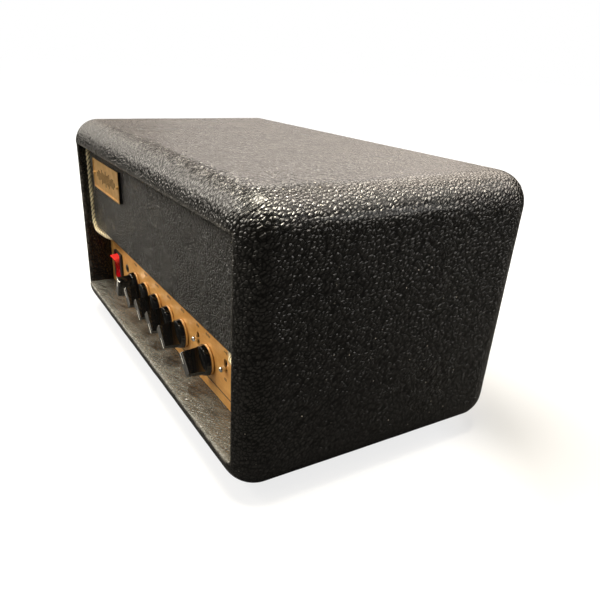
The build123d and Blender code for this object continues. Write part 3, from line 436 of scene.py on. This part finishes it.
def red_rocker(name, middle_z):
    """Clear red plastic whose raised upper end is painted lighter red as painted light, and which glows faintly
    all over, most at that end, though no lamp is inside.
    """
    s = Shader(name)
    flow = s.noise(3.5 * MM, 3, 0.5)
    fine = s.noise(0.5 * MM, 2, 0.5)
    # Painted light: the upper end is lighter red, and emission makes the rocker glow, most at the top.
    painted_light = s.span(s.math("SUBTRACT", s.part("Z"), middle_z), 3 * MM, 9 * MM, 0.0, 1.0, True)
    tone = s.blend(flow, (0.62, 0.008, 0.012), (0.4, 0.004, 0.008))
    tone = s.blend(painted_light, tone, (0.92, 0.045, 0.035))
    return s.surface(
        Base_Color=tone,
        Roughness=s.span(fine, 0.3, 0.7, 0.14, 0.24),
        Subsurface_Weight=0.2,
        Subsurface_Scale=2 * MM,
        Emission_Color=tone,
        Emission_Strength=s.span(painted_light, 0.0, 1.0, 0.13, 0.45),
        Coat_Weight=0.6,
        Normal=s.bump(fine, 0.03 * MM, 0.5),
    )


def circuit_board(name):
    """Green solder mask over copper tracks and pads."""
    s = Shader(name)
    tracks = s.node("TexBrick")
    s.feed(tracks.inputs["Vector"], s.stretch((3.8 * MM, 3.8 * MM, 3.8 * MM)))
    tracks.inputs["Mortar Size"].default_value = 0.06
    pads = s.span(s.cells(5 * MM), 0.16, 0.2, 1, 0)
    mask = s.blend(s.noise(8 * MM, 2), (0.006, 0.07, 0.03), (0.01, 0.11, 0.045))
    copper = s.blend(tracks.outputs[1], mask, (0.03, 0.2, 0.07))
    tone = s.blend(pads, copper, (0.6, 0.6, 0.58))
    height = s.math("ADD", tracks.outputs[1], pads)
    return s.surface(
        Base_Color=tone,
        Metallic=s.math("MULTIPLY", pads, 0.9),
        Roughness=0.35,
        Normal=s.bump(height, 0.08 * MM),
    )


def rubber(name):
    """Matt black rubber with grey dust."""
    s = Shader(name)
    fine = s.noise(0.7 * MM, 3, 0.6)
    dust = s.span(s.noise(6 * MM, 5, 0.7), 0.5, 0.8, 0.0, 0.3)
    tone = s.blend(dust, (0.016, 0.016, 0.016), (0.11, 0.105, 0.1))
    return s.surface(
        Base_Color=tone,
        Roughness=s.span(fine, 0.3, 0.7, 0.66, 0.85),
        Normal=s.bump(fine, 0.15 * MM, 0.8),
    )


def amber_lens(name):
    """Tinted pilot lens, unlit, with a moulded pattern of facets."""
    s = Shader(name)
    facet = s.cells(0.9 * MM, "DISTANCE_TO_EDGE")
    tone = s.blend(s.noise(1.5 * MM), (0.3, 0.09, 0.03), (0.16, 0.035, 0.012))
    return s.surface(
        Base_Color=tone,
        Roughness=s.span(facet, 0.0, 0.3, 0.2, 0.1),
        Subsurface_Weight=0.2,
        Subsurface_Scale=1 * MM,
        Coat_Weight=0.8,
        Normal=s.bump(facet, 0.12 * MM, 0.6),
    )


def windings(name):
    """Enamelled copper wire wound round the rings."""
    s = Shader(name)
    wire = s.node("TexWave", wave_type="BANDS", bands_direction="DIAGONAL")
    s.feed(wire.inputs["Vector"], s.place)
    wire.inputs["Scale"].default_value = WIRE_BANDS
    wire.inputs["Distortion"].default_value = 1.5
    tone = s.blend(wire.outputs[1], (0.1, 0.03, 0.01), (0.62, 0.25, 0.09))
    return s.surface(
        Base_Color=tone,
        Metallic=0.6,
        Roughness=s.span(s.noise(2 * MM), 0.3, 0.7, 0.3, 0.45),
        Normal=s.bump(wire.outputs[1], 0.3 * MM),
    )


def wire_skin(name, colour, stripes=False):
    """Flexible cable insulation, ribbed across its width when stripes is on."""
    s = Shader(name)
    fine = s.noise(0.9 * MM, 2, 0.5)
    height = fine
    if stripes:
        ribs = s.node("TexWave", wave_type="BANDS", bands_direction="X", wave_profile="SIN")
        s.feed(ribs.inputs["Vector"], s.place)
        ribs.inputs["Scale"].default_value = RIBBON_BANDS
        height = ribs.outputs[1]
    tone = s.blend(s.noise(6 * MM, 3), colour, tuple(c * 0.7 for c in colour))
    rough = s.span(fine, 0.3, 0.7, 0.4, 0.55)
    return s.surface(Base_Color=tone, Roughness=rough, Normal=s.bump(height, 0.2 * MM, 0.7))


badge_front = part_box("badge_plate")[0].y
rocker_z = joints["rocker_press"]["pos_m"][2]
knob_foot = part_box("gain_knob")[1].y
materials = {
    "vinyl": vinyl(
        "pebbled_vinyl",
        dark=(0.0032, 0.003, 0.0029),
        light=(0.0055, 0.0052, 0.0048),
        pebble=1.75 * MM,
        depth=0.55 * MM,
        gloss=0.2,
        turn=(38, 0, 0),
        longer=1.8,
        worn=True,
    ),
    "baffle_vinyl": vinyl(
        "baffle_vinyl",
        dark=(0.0065, 0.0065, 0.0063),
        light=(0.01, 0.0097, 0.0092),
        pebble=1.5 * MM,
        depth=0.8 * MM,
        gloss=0.25,
        turn=(0, 35, 0),
        longer=1.2,
    ),
    "plywood": plywood("birch_plywood", (0.66, 0.47, 0.28), (0.52, 0.34, 0.18)),
    "rear_paint": painted_plywood("black_painted_plywood"),
    "cord": yarn("gold_yarn", (0.88, 0.76, 0.5), (0.6, 0.46, 0.22), 0.35),
    "badge_brass": badge_metal("badge_brass", badge_front),
    "gold_plate": gold_panel("gold_panel"),
    "black_steel": powder_coat("black_powder_coat", (0.014, 0.014, 0.015)),
    "zinc_steel": metal("zinc_steel", (0.62, 0.61, 0.58), 0.28),
    "shaft_metal": metal("turned_aluminium", (0.74, 0.74, 0.74), 0.25, (1, 1 / 12, 1)),
    "knob_plastic": knob_gloss("knob_plastic", knob_foot),
    "lever_chrome": metal("lever_chrome", (0.88, 0.87, 0.84), 0.08, wear=0.06, depth=0.006),
    "red_plastic": red_rocker("red_plastic", rocker_z),
    "black_plastic": plastic("black_plastic", (0.011, 0.011, 0.011), 0.36, 0.0, 0.12, 0.05),
    "led_lens": amber_lens("amber_lens"),
    "foot_rubber": rubber("foot_rubber"),
    "board_green": circuit_board("circuit_board"),
    "pot_metal": metal("pressed_steel", (0.52, 0.51, 0.48), 0.34),
    "sink_metal": metal("black_aluminium", (0.07, 0.07, 0.07), 0.4, (1, 1, 10)),
    "capacitor_sleeve": plastic("capacitor_sleeve", (0.012, 0.018, 0.06), 0.3, 0.2, 0.08),
    "ferrite": windings("copper_windings"),
    "cable_grey": wire_skin("ribbon_insulation", (0.32, 0.32, 0.34), True),
    "lead_red": wire_skin("lead_insulation", (0.38, 0.02, 0.02)),
}

for subpart in frame["record"]["subparts"]:
    mesh = nodes[subpart["node"]].data
    mesh.materials.clear()
    mesh.materials.append(materials[subpart["material_slot"]])

# ---------------------------------------------------------------- mesh helpers


def mesh_object(name, points, faces, material, smooth=True):
    """Object from an array of points and an array of faces with equal corner counts."""
    mesh = bpy.data.meshes.new(name)
    points = np.asarray(points, np.float32).reshape(-1, 3)
    faces = np.asarray(faces, np.int32)
    count, corners = faces.shape
    mesh.vertices.add(len(points))
    mesh.vertices.foreach_set("co", points.ravel())
    mesh.loops.add(count * corners)
    mesh.loops.foreach_set("vertex_index", faces.ravel())
    mesh.polygons.add(count)
    mesh.polygons.foreach_set("loop_start", np.arange(count, dtype=np.int32) * corners)
    mesh.polygons.foreach_set("use_smooth", np.full(count, smooth))
    mesh.update(calc_edges=True)
    mesh.validate()
    mesh.materials.append(material)
    made = bpy.data.objects.new(name, mesh)
    bpy.context.scene.collection.objects.link(made)
    return made


def ring_faces(rows, columns, start=0):
    """Quads of a grid that closes on itself both across its columns and along its rows."""
    row = np.arange(rows)[:, None]
    column = np.arange(columns)[None, :]
    below, right = (row + 1) % rows, (column + 1) % columns
    quads = np.stack(
        [row * columns + column, below * columns + column, below * columns + right, row * columns + right],
        axis=-1,
    )
    return quads.reshape(-1, 4) + start


LATTICE = 32


def lattice_noise(points, size, seed):
    """Smooth random heights between -1 and 1 over space, from a seeded lattice."""
    lattice = np.random.default_rng(seed).uniform(-1, 1, (LATTICE, LATTICE, LATTICE))
    place = points / size
    cell = np.floor(place).astype(int)
    share = place - cell
    share = share * share * (3 - 2 * share)
    total = np.zeros(len(points))
    for corner in np.ndindex(2, 2, 2):
        weight = np.prod(np.where(corner, share, 1 - share), axis=1)
        x, y, z = ((cell + corner) % LATTICE).T
        total += weight * lattice[x, y, z]
    return total


# ---------------------------------------------------------------- cabinet covering

OPEN_CORNER = 1.2 * MM
VINYL = 0.8 * MM
RIM = 2.0 * MM
RIM_STEPS = 5
LINING_FRONT, FRONT_STEPS = 57 * MM, 26
LINING_REAR, REAR_STEPS = 60 * MM, 12
HIDDEN_STEPS = 6
CORE_W = HALF_W - EDGE
CORE_H = HALF_H - EDGE

# Mesh spacing on the roundings and on the flats
STEP = 1.66 * MM
LONG_STEP = 1.76 * MM
EDGE_STEPS = round(EDGE * math.pi / 2 / STEP)
STRAIGHT_STEPS = (round(2 * CORE_W / LONG_STEP), round(2 * CORE_H / LONG_STEP))


def perimeter(half_w, half_h, radius):
    """Points of a rounded rectangle, with the same number of steps whatever its size."""
    core_w, core_h = half_w - radius, half_h - radius
    points = []
    centres = ((1, 1), (-1, 1), (-1, -1), (1, -1))
    for i, (sx, sz) in enumerate(centres):
        for k in range(EDGE_STEPS):
            a = math.pi / 2 * (i + k / EDGE_STEPS)
            points.append((sx * core_w + radius * math.cos(a), sz * core_h + radius * math.sin(a)))
        nx, nz = centres[(i + 1) % 4]
        a = math.pi / 2 * (i + 1)
        arm = np.array((radius * math.cos(a), radius * math.sin(a)))
        first = np.array((sx * core_w, sz * core_h)) + arm
        last = np.array((nx * core_w, nz * core_h)) + arm
        steps = STRAIGHT_STEPS[i % 2]
        points += [tuple(first + (last - first) * k / steps) for k in range(steps)]
    return np.array(points)


def edge_depth(flat):
    """How far the rounded front lies behind the front plane."""
    over = np.clip(np.abs(flat) - (CORE_W, CORE_H), 0, None)
    rest = np.clip(EDGE**2 - (over**2).sum(1), 0, None)
    return EDGE - np.sqrt(rest)


def ring(flat, y):
    """One row of the skin: a flat outline at depth y, one value or one per point."""
    return np.column_stack([flat[:, 0], np.broadcast_to(y, len(flat)), flat[:, 1] + MIDDLE_Z])


def arc_share(k, steps):
    """Share of the way inward at step k of a quarter turn."""
    return 1 - math.cos(math.pi / 2 * k / steps)


def covering_rows():
    """Rows of the covering's closed skin: its seen side, its hidden glue side, and the front's row count."""
    outer = perimeter(HALF_W, HALF_H, EDGE)
    inner = perimeter(OPEN_W, OPEN_H, OPEN_CORNER)
    away = outer - inner
    away /= np.linalg.norm(away, axis=1)[:, None]
    lip = inner + away * RIM
    length = 2 * (HALF_D - EDGE)

    def seen_end(sign, stop, lining_steps):
        """Rows from the outside edge of one end, over its rim and into the opening."""
        rows = []
        for k in range(1, EDGE_STEPS + 1):
            flat = outer + (lip - outer) * arc_share(k, EDGE_STEPS)
            rows.append(ring(flat, sign * (HALF_D - edge_depth(flat))))
        y_lip = HALF_D - edge_depth(lip)
        y_edge = HALF_D - edge_depth(inner)
        for k in range(1, RIM_STEPS + 1):
            t = k / RIM_STEPS
            flat = lip * (1 - t) ** 2 + inner * (1 - (1 - t) ** 2)
            y = y_lip * (1 - t) ** 2 + y_edge * 2 * t * (1 - t) + (y_edge - RIM) * t**2
            rows.append(ring(flat, sign * y))
        for k in range(1, lining_steps + 1):
            t = k / lining_steps
            rows.append(ring(inner, sign * ((y_edge - RIM) * (1 - t) + stop * t)))
        return rows

    def hidden_end(sign, stop):
        """Rows one skin thickness behind one end, from inside the opening out to the edge."""
        outer_back = outer - away * VINYL
        inner_back = inner + away * VINYL
        edge_y = HALF_D - edge_depth(inner_back) - VINYL - RIM / 2
        rows = [ring(inner_back, sign * stop), ring(inner_back, sign * edge_y)]
        for k in range(HIDDEN_STEPS - 1, 0, -1):
            flat = outer_back + (inner_back + away * RIM - outer_back) * arc_share(k, HIDDEN_STEPS)
            rows.append(ring(flat, sign * (HALF_D - VINYL - edge_depth(flat + away * VINYL / 2))))
        rows.append(ring(outer_back, sign * length / 2))
        return rows

    front = seen_end(-1, LINING_FRONT, FRONT_STEPS)
    rear = seen_end(1, LINING_REAR, REAR_STEPS)
    steps = round(length / LONG_STEP)
    body = [ring(outer, -length / 2 + length * k / steps) for k in range(steps + 1)]
    hidden = hidden_end(1, LINING_REAR) + hidden_end(-1, LINING_FRONT)[::-1]
    return np.array(front[::-1] + body + rear), np.array(hidden), len(front)


seen, hidden, front_rows = covering_rows()
row_count, column_count, _ = seen.shape

# Outward directions of the seen side
along = np.gradient(seen, axis=0)
across = (np.roll(seen, -1, axis=1) - np.roll(seen, 1, axis=1)) / 2
outward = np.cross(across, along)
outward /= np.maximum(np.linalg.norm(outward, axis=2, keepdims=True), 1e-12)
centre_row = row_count // 2
if np.sum(outward[centre_row] * (seen[centre_row] - (0, 0, MIDDLE_Z))) < 0:
    outward = -outward

# Hand-laid skin: slow waves from glue and wood, and small lumps
flat_points = seen.reshape(-1, 3)
relief = 0.05 * MM * lattice_noise(flat_points, 22 * MM, 3)
relief += 0.04 * MM * lattice_noise(flat_points, 8 * MM, 4)
relief += 0.05 * MM * lattice_noise(flat_points * (1.0, 0.7, 1.0), 4.2 * MM, 5)
relief = relief.reshape(row_count, column_count)

# The skin is cut and lapped where it folds round the four corners of each opening
CUT_DEPTH, CUT_WIDTH = 0.28 * MM, 0.5 * MM
LAP_HEIGHT, LAP_WIDTH = 0.16 * MM, 0.9 * MM
for quarter in range(4):
    start = quarter * EDGE_STEPS + sum(STRAIGHT_STEPS[i % 2] for i in range(quarter))
    gap = np.arange(column_count) - (start + EDGE_STEPS * 0.5)
    near = (np.abs(gap) < EDGE_STEPS * 0.5)[None, :]
    for rows in (slice(0, front_rows), slice(row_count - front_rows, row_count)):
        distance = gap[None, :] * np.linalg.norm(across[rows], axis=2)
        groove = -CUT_DEPTH * np.exp(-((distance / CUT_WIDTH) ** 2))
        lap = LAP_HEIGHT * np.exp(-(((distance - LAP_WIDTH) / LAP_WIDTH) ** 2))
        relief[rows] += (groove + lap) * near
seen = seen + outward * relief[:, :, None]

covering_points = np.concatenate([seen, hidden]).reshape(-1, 3)
covering_faces = ring_faces(row_count + len(hidden), column_count)
covering = mesh_object("cabinet_vinyl", covering_points, covering_faces, materials["vinyl"])
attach(covering, ROOT)
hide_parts("cabinet_covering")

# ---------------------------------------------------------------- twisted cord

piping_low, piping_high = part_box("piping")
baffle_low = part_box("baffle_covering")[0]
CORD = 2.0 * MM
CORD_CORNER = 10.1 * MM
TOP_CORNER = 6.0 * MM
CORD_GAP = 0.1 * MM
DRIFT_BACK = 3.4 * MM
TUCK_BACK, TUCK_UP = 4.5 * MM, 1.6 * MM
CORD_STEP = 0.75 * MM
LAY = 11.4 * MM
STRANDS = 3
side_x = piping_high.x - CORD
top_z = piping_high.z - CORD
cord_y = piping_low.y + CORD
low_z = baffle_low.z - CORD - CORD_GAP
drift_y = baffle_low.y + DRIFT_BACK
tuck_y, tuck_z = baffle_low.y + TUCK_BACK, baffle_low.z + TUCK_UP

# Points on each stretch of the cord's line, before it is spaced evenly
BOTTOM_POINTS, SIDE_POINTS, TOP_POINTS = 90, 60, 120
BEND_POINTS, TOP_BEND_POINTS = 24, 16


def smooth_run(places, start_pull, end_pull, steps):
    """Points of a smooth curve through three places with set directions at its ends."""
    first, second = (places[1] - places[0]).length, (places[2] - places[1]).length
    rise = 3 * ((places[1] - places[0]) / first**2 + (places[2] - places[1]) / second**2)
    middle_pull = (rise - start_pull / first - end_pull / second) / (2 * (1 / first + 1 / second))
    points = []
    for a, b, pull_a, pull_b, span in (
        (places[0], places[1], start_pull, middle_pull, first),
        (places[1], places[2], middle_pull, end_pull, second),
    ):
        for t in np.linspace(0, 1, steps)[1:]:
            h = (2 * t**3 - 3 * t**2 + 1, t**3 - 2 * t**2 + t, -2 * t**3 + 3 * t**2, t**3 - t**2)
            points.append(a * h[0] + pull_a * (span * h[1]) + b * h[2] + pull_b * (span * h[3]))
    return points


def cord_half(drift_in, tuck_in):
    """Points of the right half of a cord's centre line, from the middle of the bottom to that of the top.

    The cord leaves its place behind the baffle tuck_in short of the side, and is halfway out at drift_in.
    """
    tuck = Vector((side_x - tuck_in, tuck_y, tuck_z))
    drift = Vector((side_x - drift_in, drift_y, low_z))
    corner = Vector((side_x - CORD_CORNER, cord_y, low_z))
    right = Vector((1, 0, 0))
    points = [Vector((x, tuck_y, tuck_z)) for x in np.linspace(0, tuck.x, BOTTOM_POINTS)]
    points += smooth_run((tuck, drift, corner), right, right, BEND_POINTS)
    for t in np.linspace(0, math.pi / 2, BEND_POINTS)[1:]:
        x = side_x - CORD_CORNER * (1 - math.sin(t))
        points.append(Vector((x, cord_y, low_z + CORD_CORNER * (1 - math.cos(t)))))
    for z in np.linspace(low_z + CORD_CORNER, top_z - TOP_CORNER, SIDE_POINTS)[1:]:
        points.append(Vector((side_x, cord_y, z)))
    for t in np.linspace(0, math.pi / 2, TOP_BEND_POINTS)[1:]:
        x = side_x - TOP_CORNER * (1 - math.cos(t))
        points.append(Vector((x, cord_y, top_z - TOP_CORNER * (1 - math.sin(t)))))
    points += [Vector((x, cord_y, top_z)) for x in np.linspace(side_x - TOP_CORNER, 0, TOP_POINTS)[1:]]
    return np.array([tuple(p) for p in points])


def cord_line():
    """Evenly spaced points of the cord's closed centre line and its length.

    At the right corner the cord comes out nearer the side than at the left.
    """
    right = cord_half(19 * MM, 34 * MM)
    left = cord_half(37 * MM, 58 * MM)[::-1] * (-1, 1, 1)
    line = np.concatenate([right, left[1:-1]])
    pieces = np.linalg.norm(np.diff(line, axis=0, append=line[:1]), axis=1)
    length = np.concatenate([[0], np.cumsum(pieces)])
    marks = np.linspace(0, length[-1], int(length[-1] / CORD_STEP), endpoint=False)
    closed = np.concatenate([line, line[:1]])
    return np.column_stack([np.interp(marks, length, closed[:, i]) for i in range(3)]), length[-1]


def strand(centre, turns, phase, reach, thick, sides):
    """Tube that winds round the centre line, as a closed grid of points."""
    count = len(centre)
    tangent = np.roll(centre, -1, axis=0) - np.roll(centre, 1, axis=0)
    tangent /= np.linalg.norm(tangent, axis=1)[:, None]
    forward = np.array((0.0, -1.0, 0.0))
    first = np.cross(tangent, forward)
    first /= np.linalg.norm(first, axis=1)[:, None]
    second = np.cross(tangent, first)
    a = 2 * math.pi * (turns * np.arange(count) / count) + phase
    middle = centre + reach * (np.cos(a)[:, None] * first + np.sin(a)[:, None] * second)
    rows = []
    for k in range(sides):
        b = 2 * math.pi * k / sides + a
        rows.append(middle + thick * (np.cos(b)[:, None] * first + np.sin(b)[:, None] * second))
    return np.array(rows).transpose(1, 0, 2)


centre_line, cord_length = cord_line()


def cord_yarns(name, reach, thick, sides, shift, material):
    """The strands of one colour, wound round the centre line at the given distance from it."""
    points, faces = [], []
    for k in range(STRANDS):
        phase = 2 * math.pi * k / STRANDS + shift
        grid = strand(centre_line, round(cord_length / LAY), phase, reach, thick, sides)
        faces.append(ring_faces(len(grid), sides, sum(len(p) for p in points)))
        points.append(grid.reshape(-1, 3))
    made = mesh_object(name, np.concatenate(points), np.concatenate(faces), material)
    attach(made, ROOT)
    return made


gold_cord = cord_yarns("piping_gold", 0.96 * MM, 1.04 * MM, 9, 0.0, materials["cord"])
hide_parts("piping")
# Black yarns lie in the grooves between the gold strands, where they also add painted shade.
groove_shading_yarn = yarn("black_yarn", (0.02, 0.017, 0.013), (0.05, 0.04, 0.03), 0.2)
cord_yarns("piping_black_shading", 1.42 * MM, 0.4 * MM, 6, math.pi / STRANDS, groove_shading_yarn)

# ---------------------------------------------------------------- pointer lines of the knobs


def box_piece(name, size, place, turn, material):
    """Small block with eased edges, turned clockwise as the player sees it."""
    shape = bmesh.new()
    bmesh.ops.create_cube(shape, size=1.0)
    bmesh.ops.scale(shape, vec=size, verts=shape.verts)
    bmesh.ops.bevel(shape, geom=shape.edges[:], offset=0.05 * MM, segments=2, affect="EDGES")
    mesh = bpy.data.meshes.new(name)
    shape.to_mesh(mesh)
    shape.free()
    mesh.transform(Matrix.Translation(place) @ Matrix.Rotation(math.radians(turn), 4, "Y"))
    mesh.materials.append(material)
    made = bpy.data.objects.new(name, mesh)
    bpy.context.scene.collection.objects.link(made)
    return made


# Degrees from straight up to a knob's stop
LIMIT_ANGLE = 150.0
POINTER_SIZE = (1.05 * MM, 0.3 * MM, 7.3 * MM)
POINTER_REACH = 4.15 * MM
POINTER_SINK = 0.17 * MM
pointer_enamel = plastic("pointer_enamel", (0.72, 0.7, 0.64), 0.35, 0.2, 0.1, 0.03)
knob_names = [j[: -len("_turn")] for j in joints if j.endswith("_turn")]
for name in knob_names:
    joint = joints[name + "_turn"]
    x, _, z = joint["pos_m"]
    rest = -LIMIT_ANGLE - joint["range_deg"][0]
    a = math.radians(rest)
    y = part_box(name + "_knob")[0].y + POINTER_SINK
    place = Vector((x + POINTER_REACH * math.sin(a), y, z + POINTER_REACH * math.cos(a)))
    line = box_piece(name + "_pointer", POINTER_SIZE, place, rest, pointer_enamel)
    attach(line, name + "_control")

# ---------------------------------------------------------------- print on the gold panel

INK = 0.06 * MM
LINE = 0.7 * MM
BELOW_FRAME, ABOVE_FRAME, BESIDE_FRAME = 7.0 * MM, 4.5 * MM, 6.0 * MM
CAPTION_PITCH, CAPTION_WIDTH = 1.15 * MM, 0.55 * MM
CAPTION_RISE = 16.6 * MM
TOGGLE_DROP = 9.0 * MM
panel_low, panel_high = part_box("faceplate")
control_z = joints["gain_turn"]["pos_m"][2]
toggle_z = joints["tight_flip"]["pos_m"][2]
ink_bars = []


def ink(x, z, width, height):
    """Queue one printed bar."""
    ink_bars.append((x, z, width, height))


frame_low, frame_high = panel_low.z + BELOW_FRAME, panel_high.z - ABOVE_FRAME
frame_half = panel_high.x - BESIDE_FRAME
for z in (frame_low, frame_high):
    ink(0, z, 2 * frame_half, LINE)
for x in (-frame_half, frame_half):
    ink(x, (frame_low + frame_high) / 2, LINE, frame_high - frame_low)
rng = np.random.default_rng(11)


def caption_bars(x, z, count):
    """Short upright strokes in a row, standing for a printed caption without being letters."""
    for i in range(count):
        tall = rng.choice((0.9, 1.5, 2.0)) * MM
        ink(x + (i - (count - 1) / 2) * CAPTION_PITCH, z, CAPTION_WIDTH, tall)


for name in knob_names:
    caption_bars(joints[name + "_turn"]["pos_m"][0], control_z + CAPTION_RISE, 6)
for name in ("tight_flip", "bright_flip"):
    x = joints[name]["pos_m"][0]
    caption_bars(x, control_z + CAPTION_RISE, 4)
    caption_bars(x, toggle_z - TOGGLE_DROP, 3)
jack_low, jack_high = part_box("input_jack")
caption_bars((jack_low.x + jack_high.x) / 2, control_z + CAPTION_RISE, 5)

print_points, print_faces = [], []
corners = [(-1, -1, -1), (1, -1, -1), (1, 1, -1), (-1, 1, -1), (-1, -1, 1), (1, -1, 1), (1, 1, 1), (-1, 1, 1)]
cube = [(0, 3, 2, 1), (4, 5, 6, 7), (0, 1, 5, 4), (1, 2, 6, 5), (2, 3, 7, 6), (3, 0, 4, 7)]
for x, z, width, height in ink_bars:
    start = len(print_points)
    middle = np.array((x, panel_low.y - INK / 2, z))
    print_points += [tuple(middle + np.array(corner) * (width, INK, height) / 2) for corner in corners]
    print_faces += [tuple(start + i for i in quad) for quad in cube]
brown_ink = plastic("brown_ink", (0.045, 0.02, 0.01), 0.45, 0.0, 0.03, 0.02)
panel_print = mesh_object("panel_print", print_points, print_faces, brown_ink, False)
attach(panel_print, ROOT)

# ---------------------------------------------------------------- studio

FLOOR_REACH = 12.0
LAMP_AIM = Vector((0, 0, 0.09))
ROOM_LIGHT = 0.05
DARK_FLOOR = 0.04
LIT_FLOOR = 0.09


def studio_floor():
    """Pale floor whose look depends on who sees it.

    To the camera it is white, with the soft contact shadow painted in. In reflections it is dim, and
    lightest in front of the cabinet.
    """
    s = Shader("studio_floor")
    size = s.node("VectorMath", operation="ABSOLUTE")
    s.feed(size.inputs[0], s.place)
    past = s.node("VectorMath", operation="SUBTRACT")
    s.link(size.outputs[0], past.inputs[0])
    past.inputs[1].default_value = (HALF_W, HALF_D, 0)
    beyond = s.node("VectorMath", operation="MAXIMUM")
    s.link(past.outputs[0], beyond.inputs[0])
    beyond.inputs[1].default_value = (0, 0, 0)
    reach = s.node("VectorMath", operation="LENGTH")
    s.link(beyond.outputs[0], reach.inputs[0])
    away = reach.outputs["Value"]
    # The shadow is darkest under the cabinet and longest towards the right and the rear
    inset = s.math("MAXIMUM", s.part("X", past.outputs[0]), s.part("Y", past.outputs[0]))
    behind = s.math("MULTIPLY_ADD", s.part("X"), 0.5, s.math("MULTIPLY", s.part("Y"), 0.85))
    shade = s.span(behind, 0.12, 0.18, 0.0, 1.0, True)
    shade = s.math("MULTIPLY", shade, s.span(away, 0.0, 0.2, 1.0, 0.0, True))
    glow = s.math("SUBTRACT", s.span(away, 0.0, 0.2, 0.8, 1.0), s.math("MULTIPLY", shade, 0.4))
    glow = s.math("MULTIPLY", glow, s.span(inset, -0.06, -0.02, 0.12, 1.0, True))
    camera_ray = s.node("LightPath").outputs["Is Camera Ray"]
    ahead = s.math("MULTIPLY_ADD", s.part("X"), -0.45, s.math("MULTIPLY", s.part("Y"), -0.9))
    reflected = s.span(ahead, 0.05, 0.5, DARK_FLOOR, LIT_FLOOR, True)
    seen_tone = s.blend(s.noise(0.6, 3), (0.1, 0.1, 0.1), (0.12, 0.12, 0.12))
    tone = s.blend(camera_ray, reflected, seen_tone)
    s.surface(
        Base_Color=tone,
        Roughness=0.9,
        Specular_IOR_Level=0.0,
        Emission_Color=(1, 1, 1),
        Emission_Strength=s.math("MULTIPLY", camera_ray, glow),
    )
    r = FLOOR_REACH
    square = [(-r, -r, 0), (r, -r, 0), (r, r, 0), (-r, r, 0)]
    mesh_object("studio_floor", square, [(0, 1, 2, 3)], s.material, False)


def softbox(name, place, size, power, colour):
    """Rectangular area light that points at the middle of the object."""
    lamp = bpy.data.lights.new(name, "AREA")
    lamp.shape = "RECTANGLE"
    lamp.size, lamp.size_y = size
    lamp.energy = power
    lamp.color = colour
    made = bpy.data.objects.new(name, lamp)
    bpy.context.scene.collection.objects.link(made)
    made.location = place
    made.rotation_mode = "QUATERNION"
    made.rotation_quaternion = (LAMP_AIM - Vector(place)).to_track_quat("-Z", "Y")
    made.visible_camera = False


def studio_world():
    """White to the camera, a dim soft gradient to everything else."""
    world = bpy.data.worlds.new("studio")
    bpy.context.scene.world = world
    world.use_nodes = True
    tree = world.node_tree
    tree.nodes.clear()
    out = tree.nodes.new("ShaderNodeOutputWorld")
    mix = tree.nodes.new("ShaderNodeMixShader")
    path = tree.nodes.new("ShaderNodeLightPath")
    white = tree.nodes.new("ShaderNodeBackground")
    room = tree.nodes.new("ShaderNodeBackground")
    white.inputs[0].default_value = (1, 1, 1, 1)
    coords = tree.nodes.new("ShaderNodeTexCoord")
    split = tree.nodes.new("ShaderNodeSeparateXYZ")
    ramp = tree.nodes.new("ShaderNodeValToRGB")
    tree.links.new(coords.outputs["Generated"], split.inputs[0])
    tree.links.new(split.outputs[2], ramp.inputs[0])
    ramp.color_ramp.elements[0].color = (0.1, 0.1, 0.1, 1)
    ramp.color_ramp.elements[1].color = (0.75, 0.72, 0.68, 1)
    tree.links.new(ramp.outputs[0], room.inputs[0])
    room.inputs[1].default_value = ROOM_LIGHT
    tree.links.new(path.outputs["Is Camera Ray"], mix.inputs[0])
    tree.links.new(room.outputs[0], mix.inputs[1])
    tree.links.new(white.outputs[0], mix.inputs[2])
    tree.links.new(mix.outputs[0], out.inputs[0])


studio_floor()
studio_world()

# Name, place, size, power in watts and colour
SOFTBOXES = (
    ("overhead", (0.08, -0.12, 1.25), (0.5, 0.5), 62, (1.0, 0.92, 0.76)),
    ("overhead_back", (0.5, 0.75, 1.2), (0.9, 0.9), 21, (1.0, 0.92, 0.82)),
    ("back_high", (-0.5, 1.15, 1.05), (0.8, 0.8), 11, (1.0, 0.87, 0.74)),
    ("back_left", (-1.3, 0.9, 0.8), (1.1, 0.8), 4.1, (1.0, 0.93, 0.87)),
    ("horizon_left", (-1.45, 0.85, 0.35), (1.75, 0.5), 2.2, (1.0, 0.86, 0.74)),
    ("front_left", (-1.2, -0.8, 0.9), (0.9, 0.9), 16, (1.0, 0.93, 0.82)),
    ("left_middle", (-1.6, -0.2, 0.6), (0.8, 0.6), 1.7, (1.0, 0.92, 0.82)),
    ("high_front", (0.2, -1.3, 1.1), (0.6, 0.6), 5, (1.0, 0.93, 0.8)),
    ("spot_front", (-0.37, -0.88, 0.96), (0.24, 0.24), 8, (1.0, 0.95, 0.86)),
    ("right_back", (1.0, 0.75, 0.5), (0.3, 0.3), 2.8, (1.0, 0.97, 0.92)),
)
for lamp in SOFTBOXES:
    softbox(*lamp)

# ---------------------------------------------------------------- camera

# Angles in degrees, the lens in millimetres, the shifts as shares of the picture's width
CAMERA_PLACE = (0.362594, -0.196177, 0.21614)
CAMERA_TURN = (64.227871, -2.441837, 60.298289)
camera_data = bpy.data.cameras.new("camera")
camera_data.sensor_width = 36.0
camera_data.lens = 34.4037
camera_data.shift_x, camera_data.shift_y = 0.0409933, 0.0617333
camera_data.clip_start, camera_data.clip_end = 0.01, 50
camera = bpy.data.objects.new("camera", camera_data)
camera.location = CAMERA_PLACE
camera.rotation_euler = [math.radians(a) for a in CAMERA_TURN]
bpy.context.scene.collection.objects.link(camera)
bpy.context.scene.camera = camera
bpy.context.scene.view_settings.view_transform = "Standard"
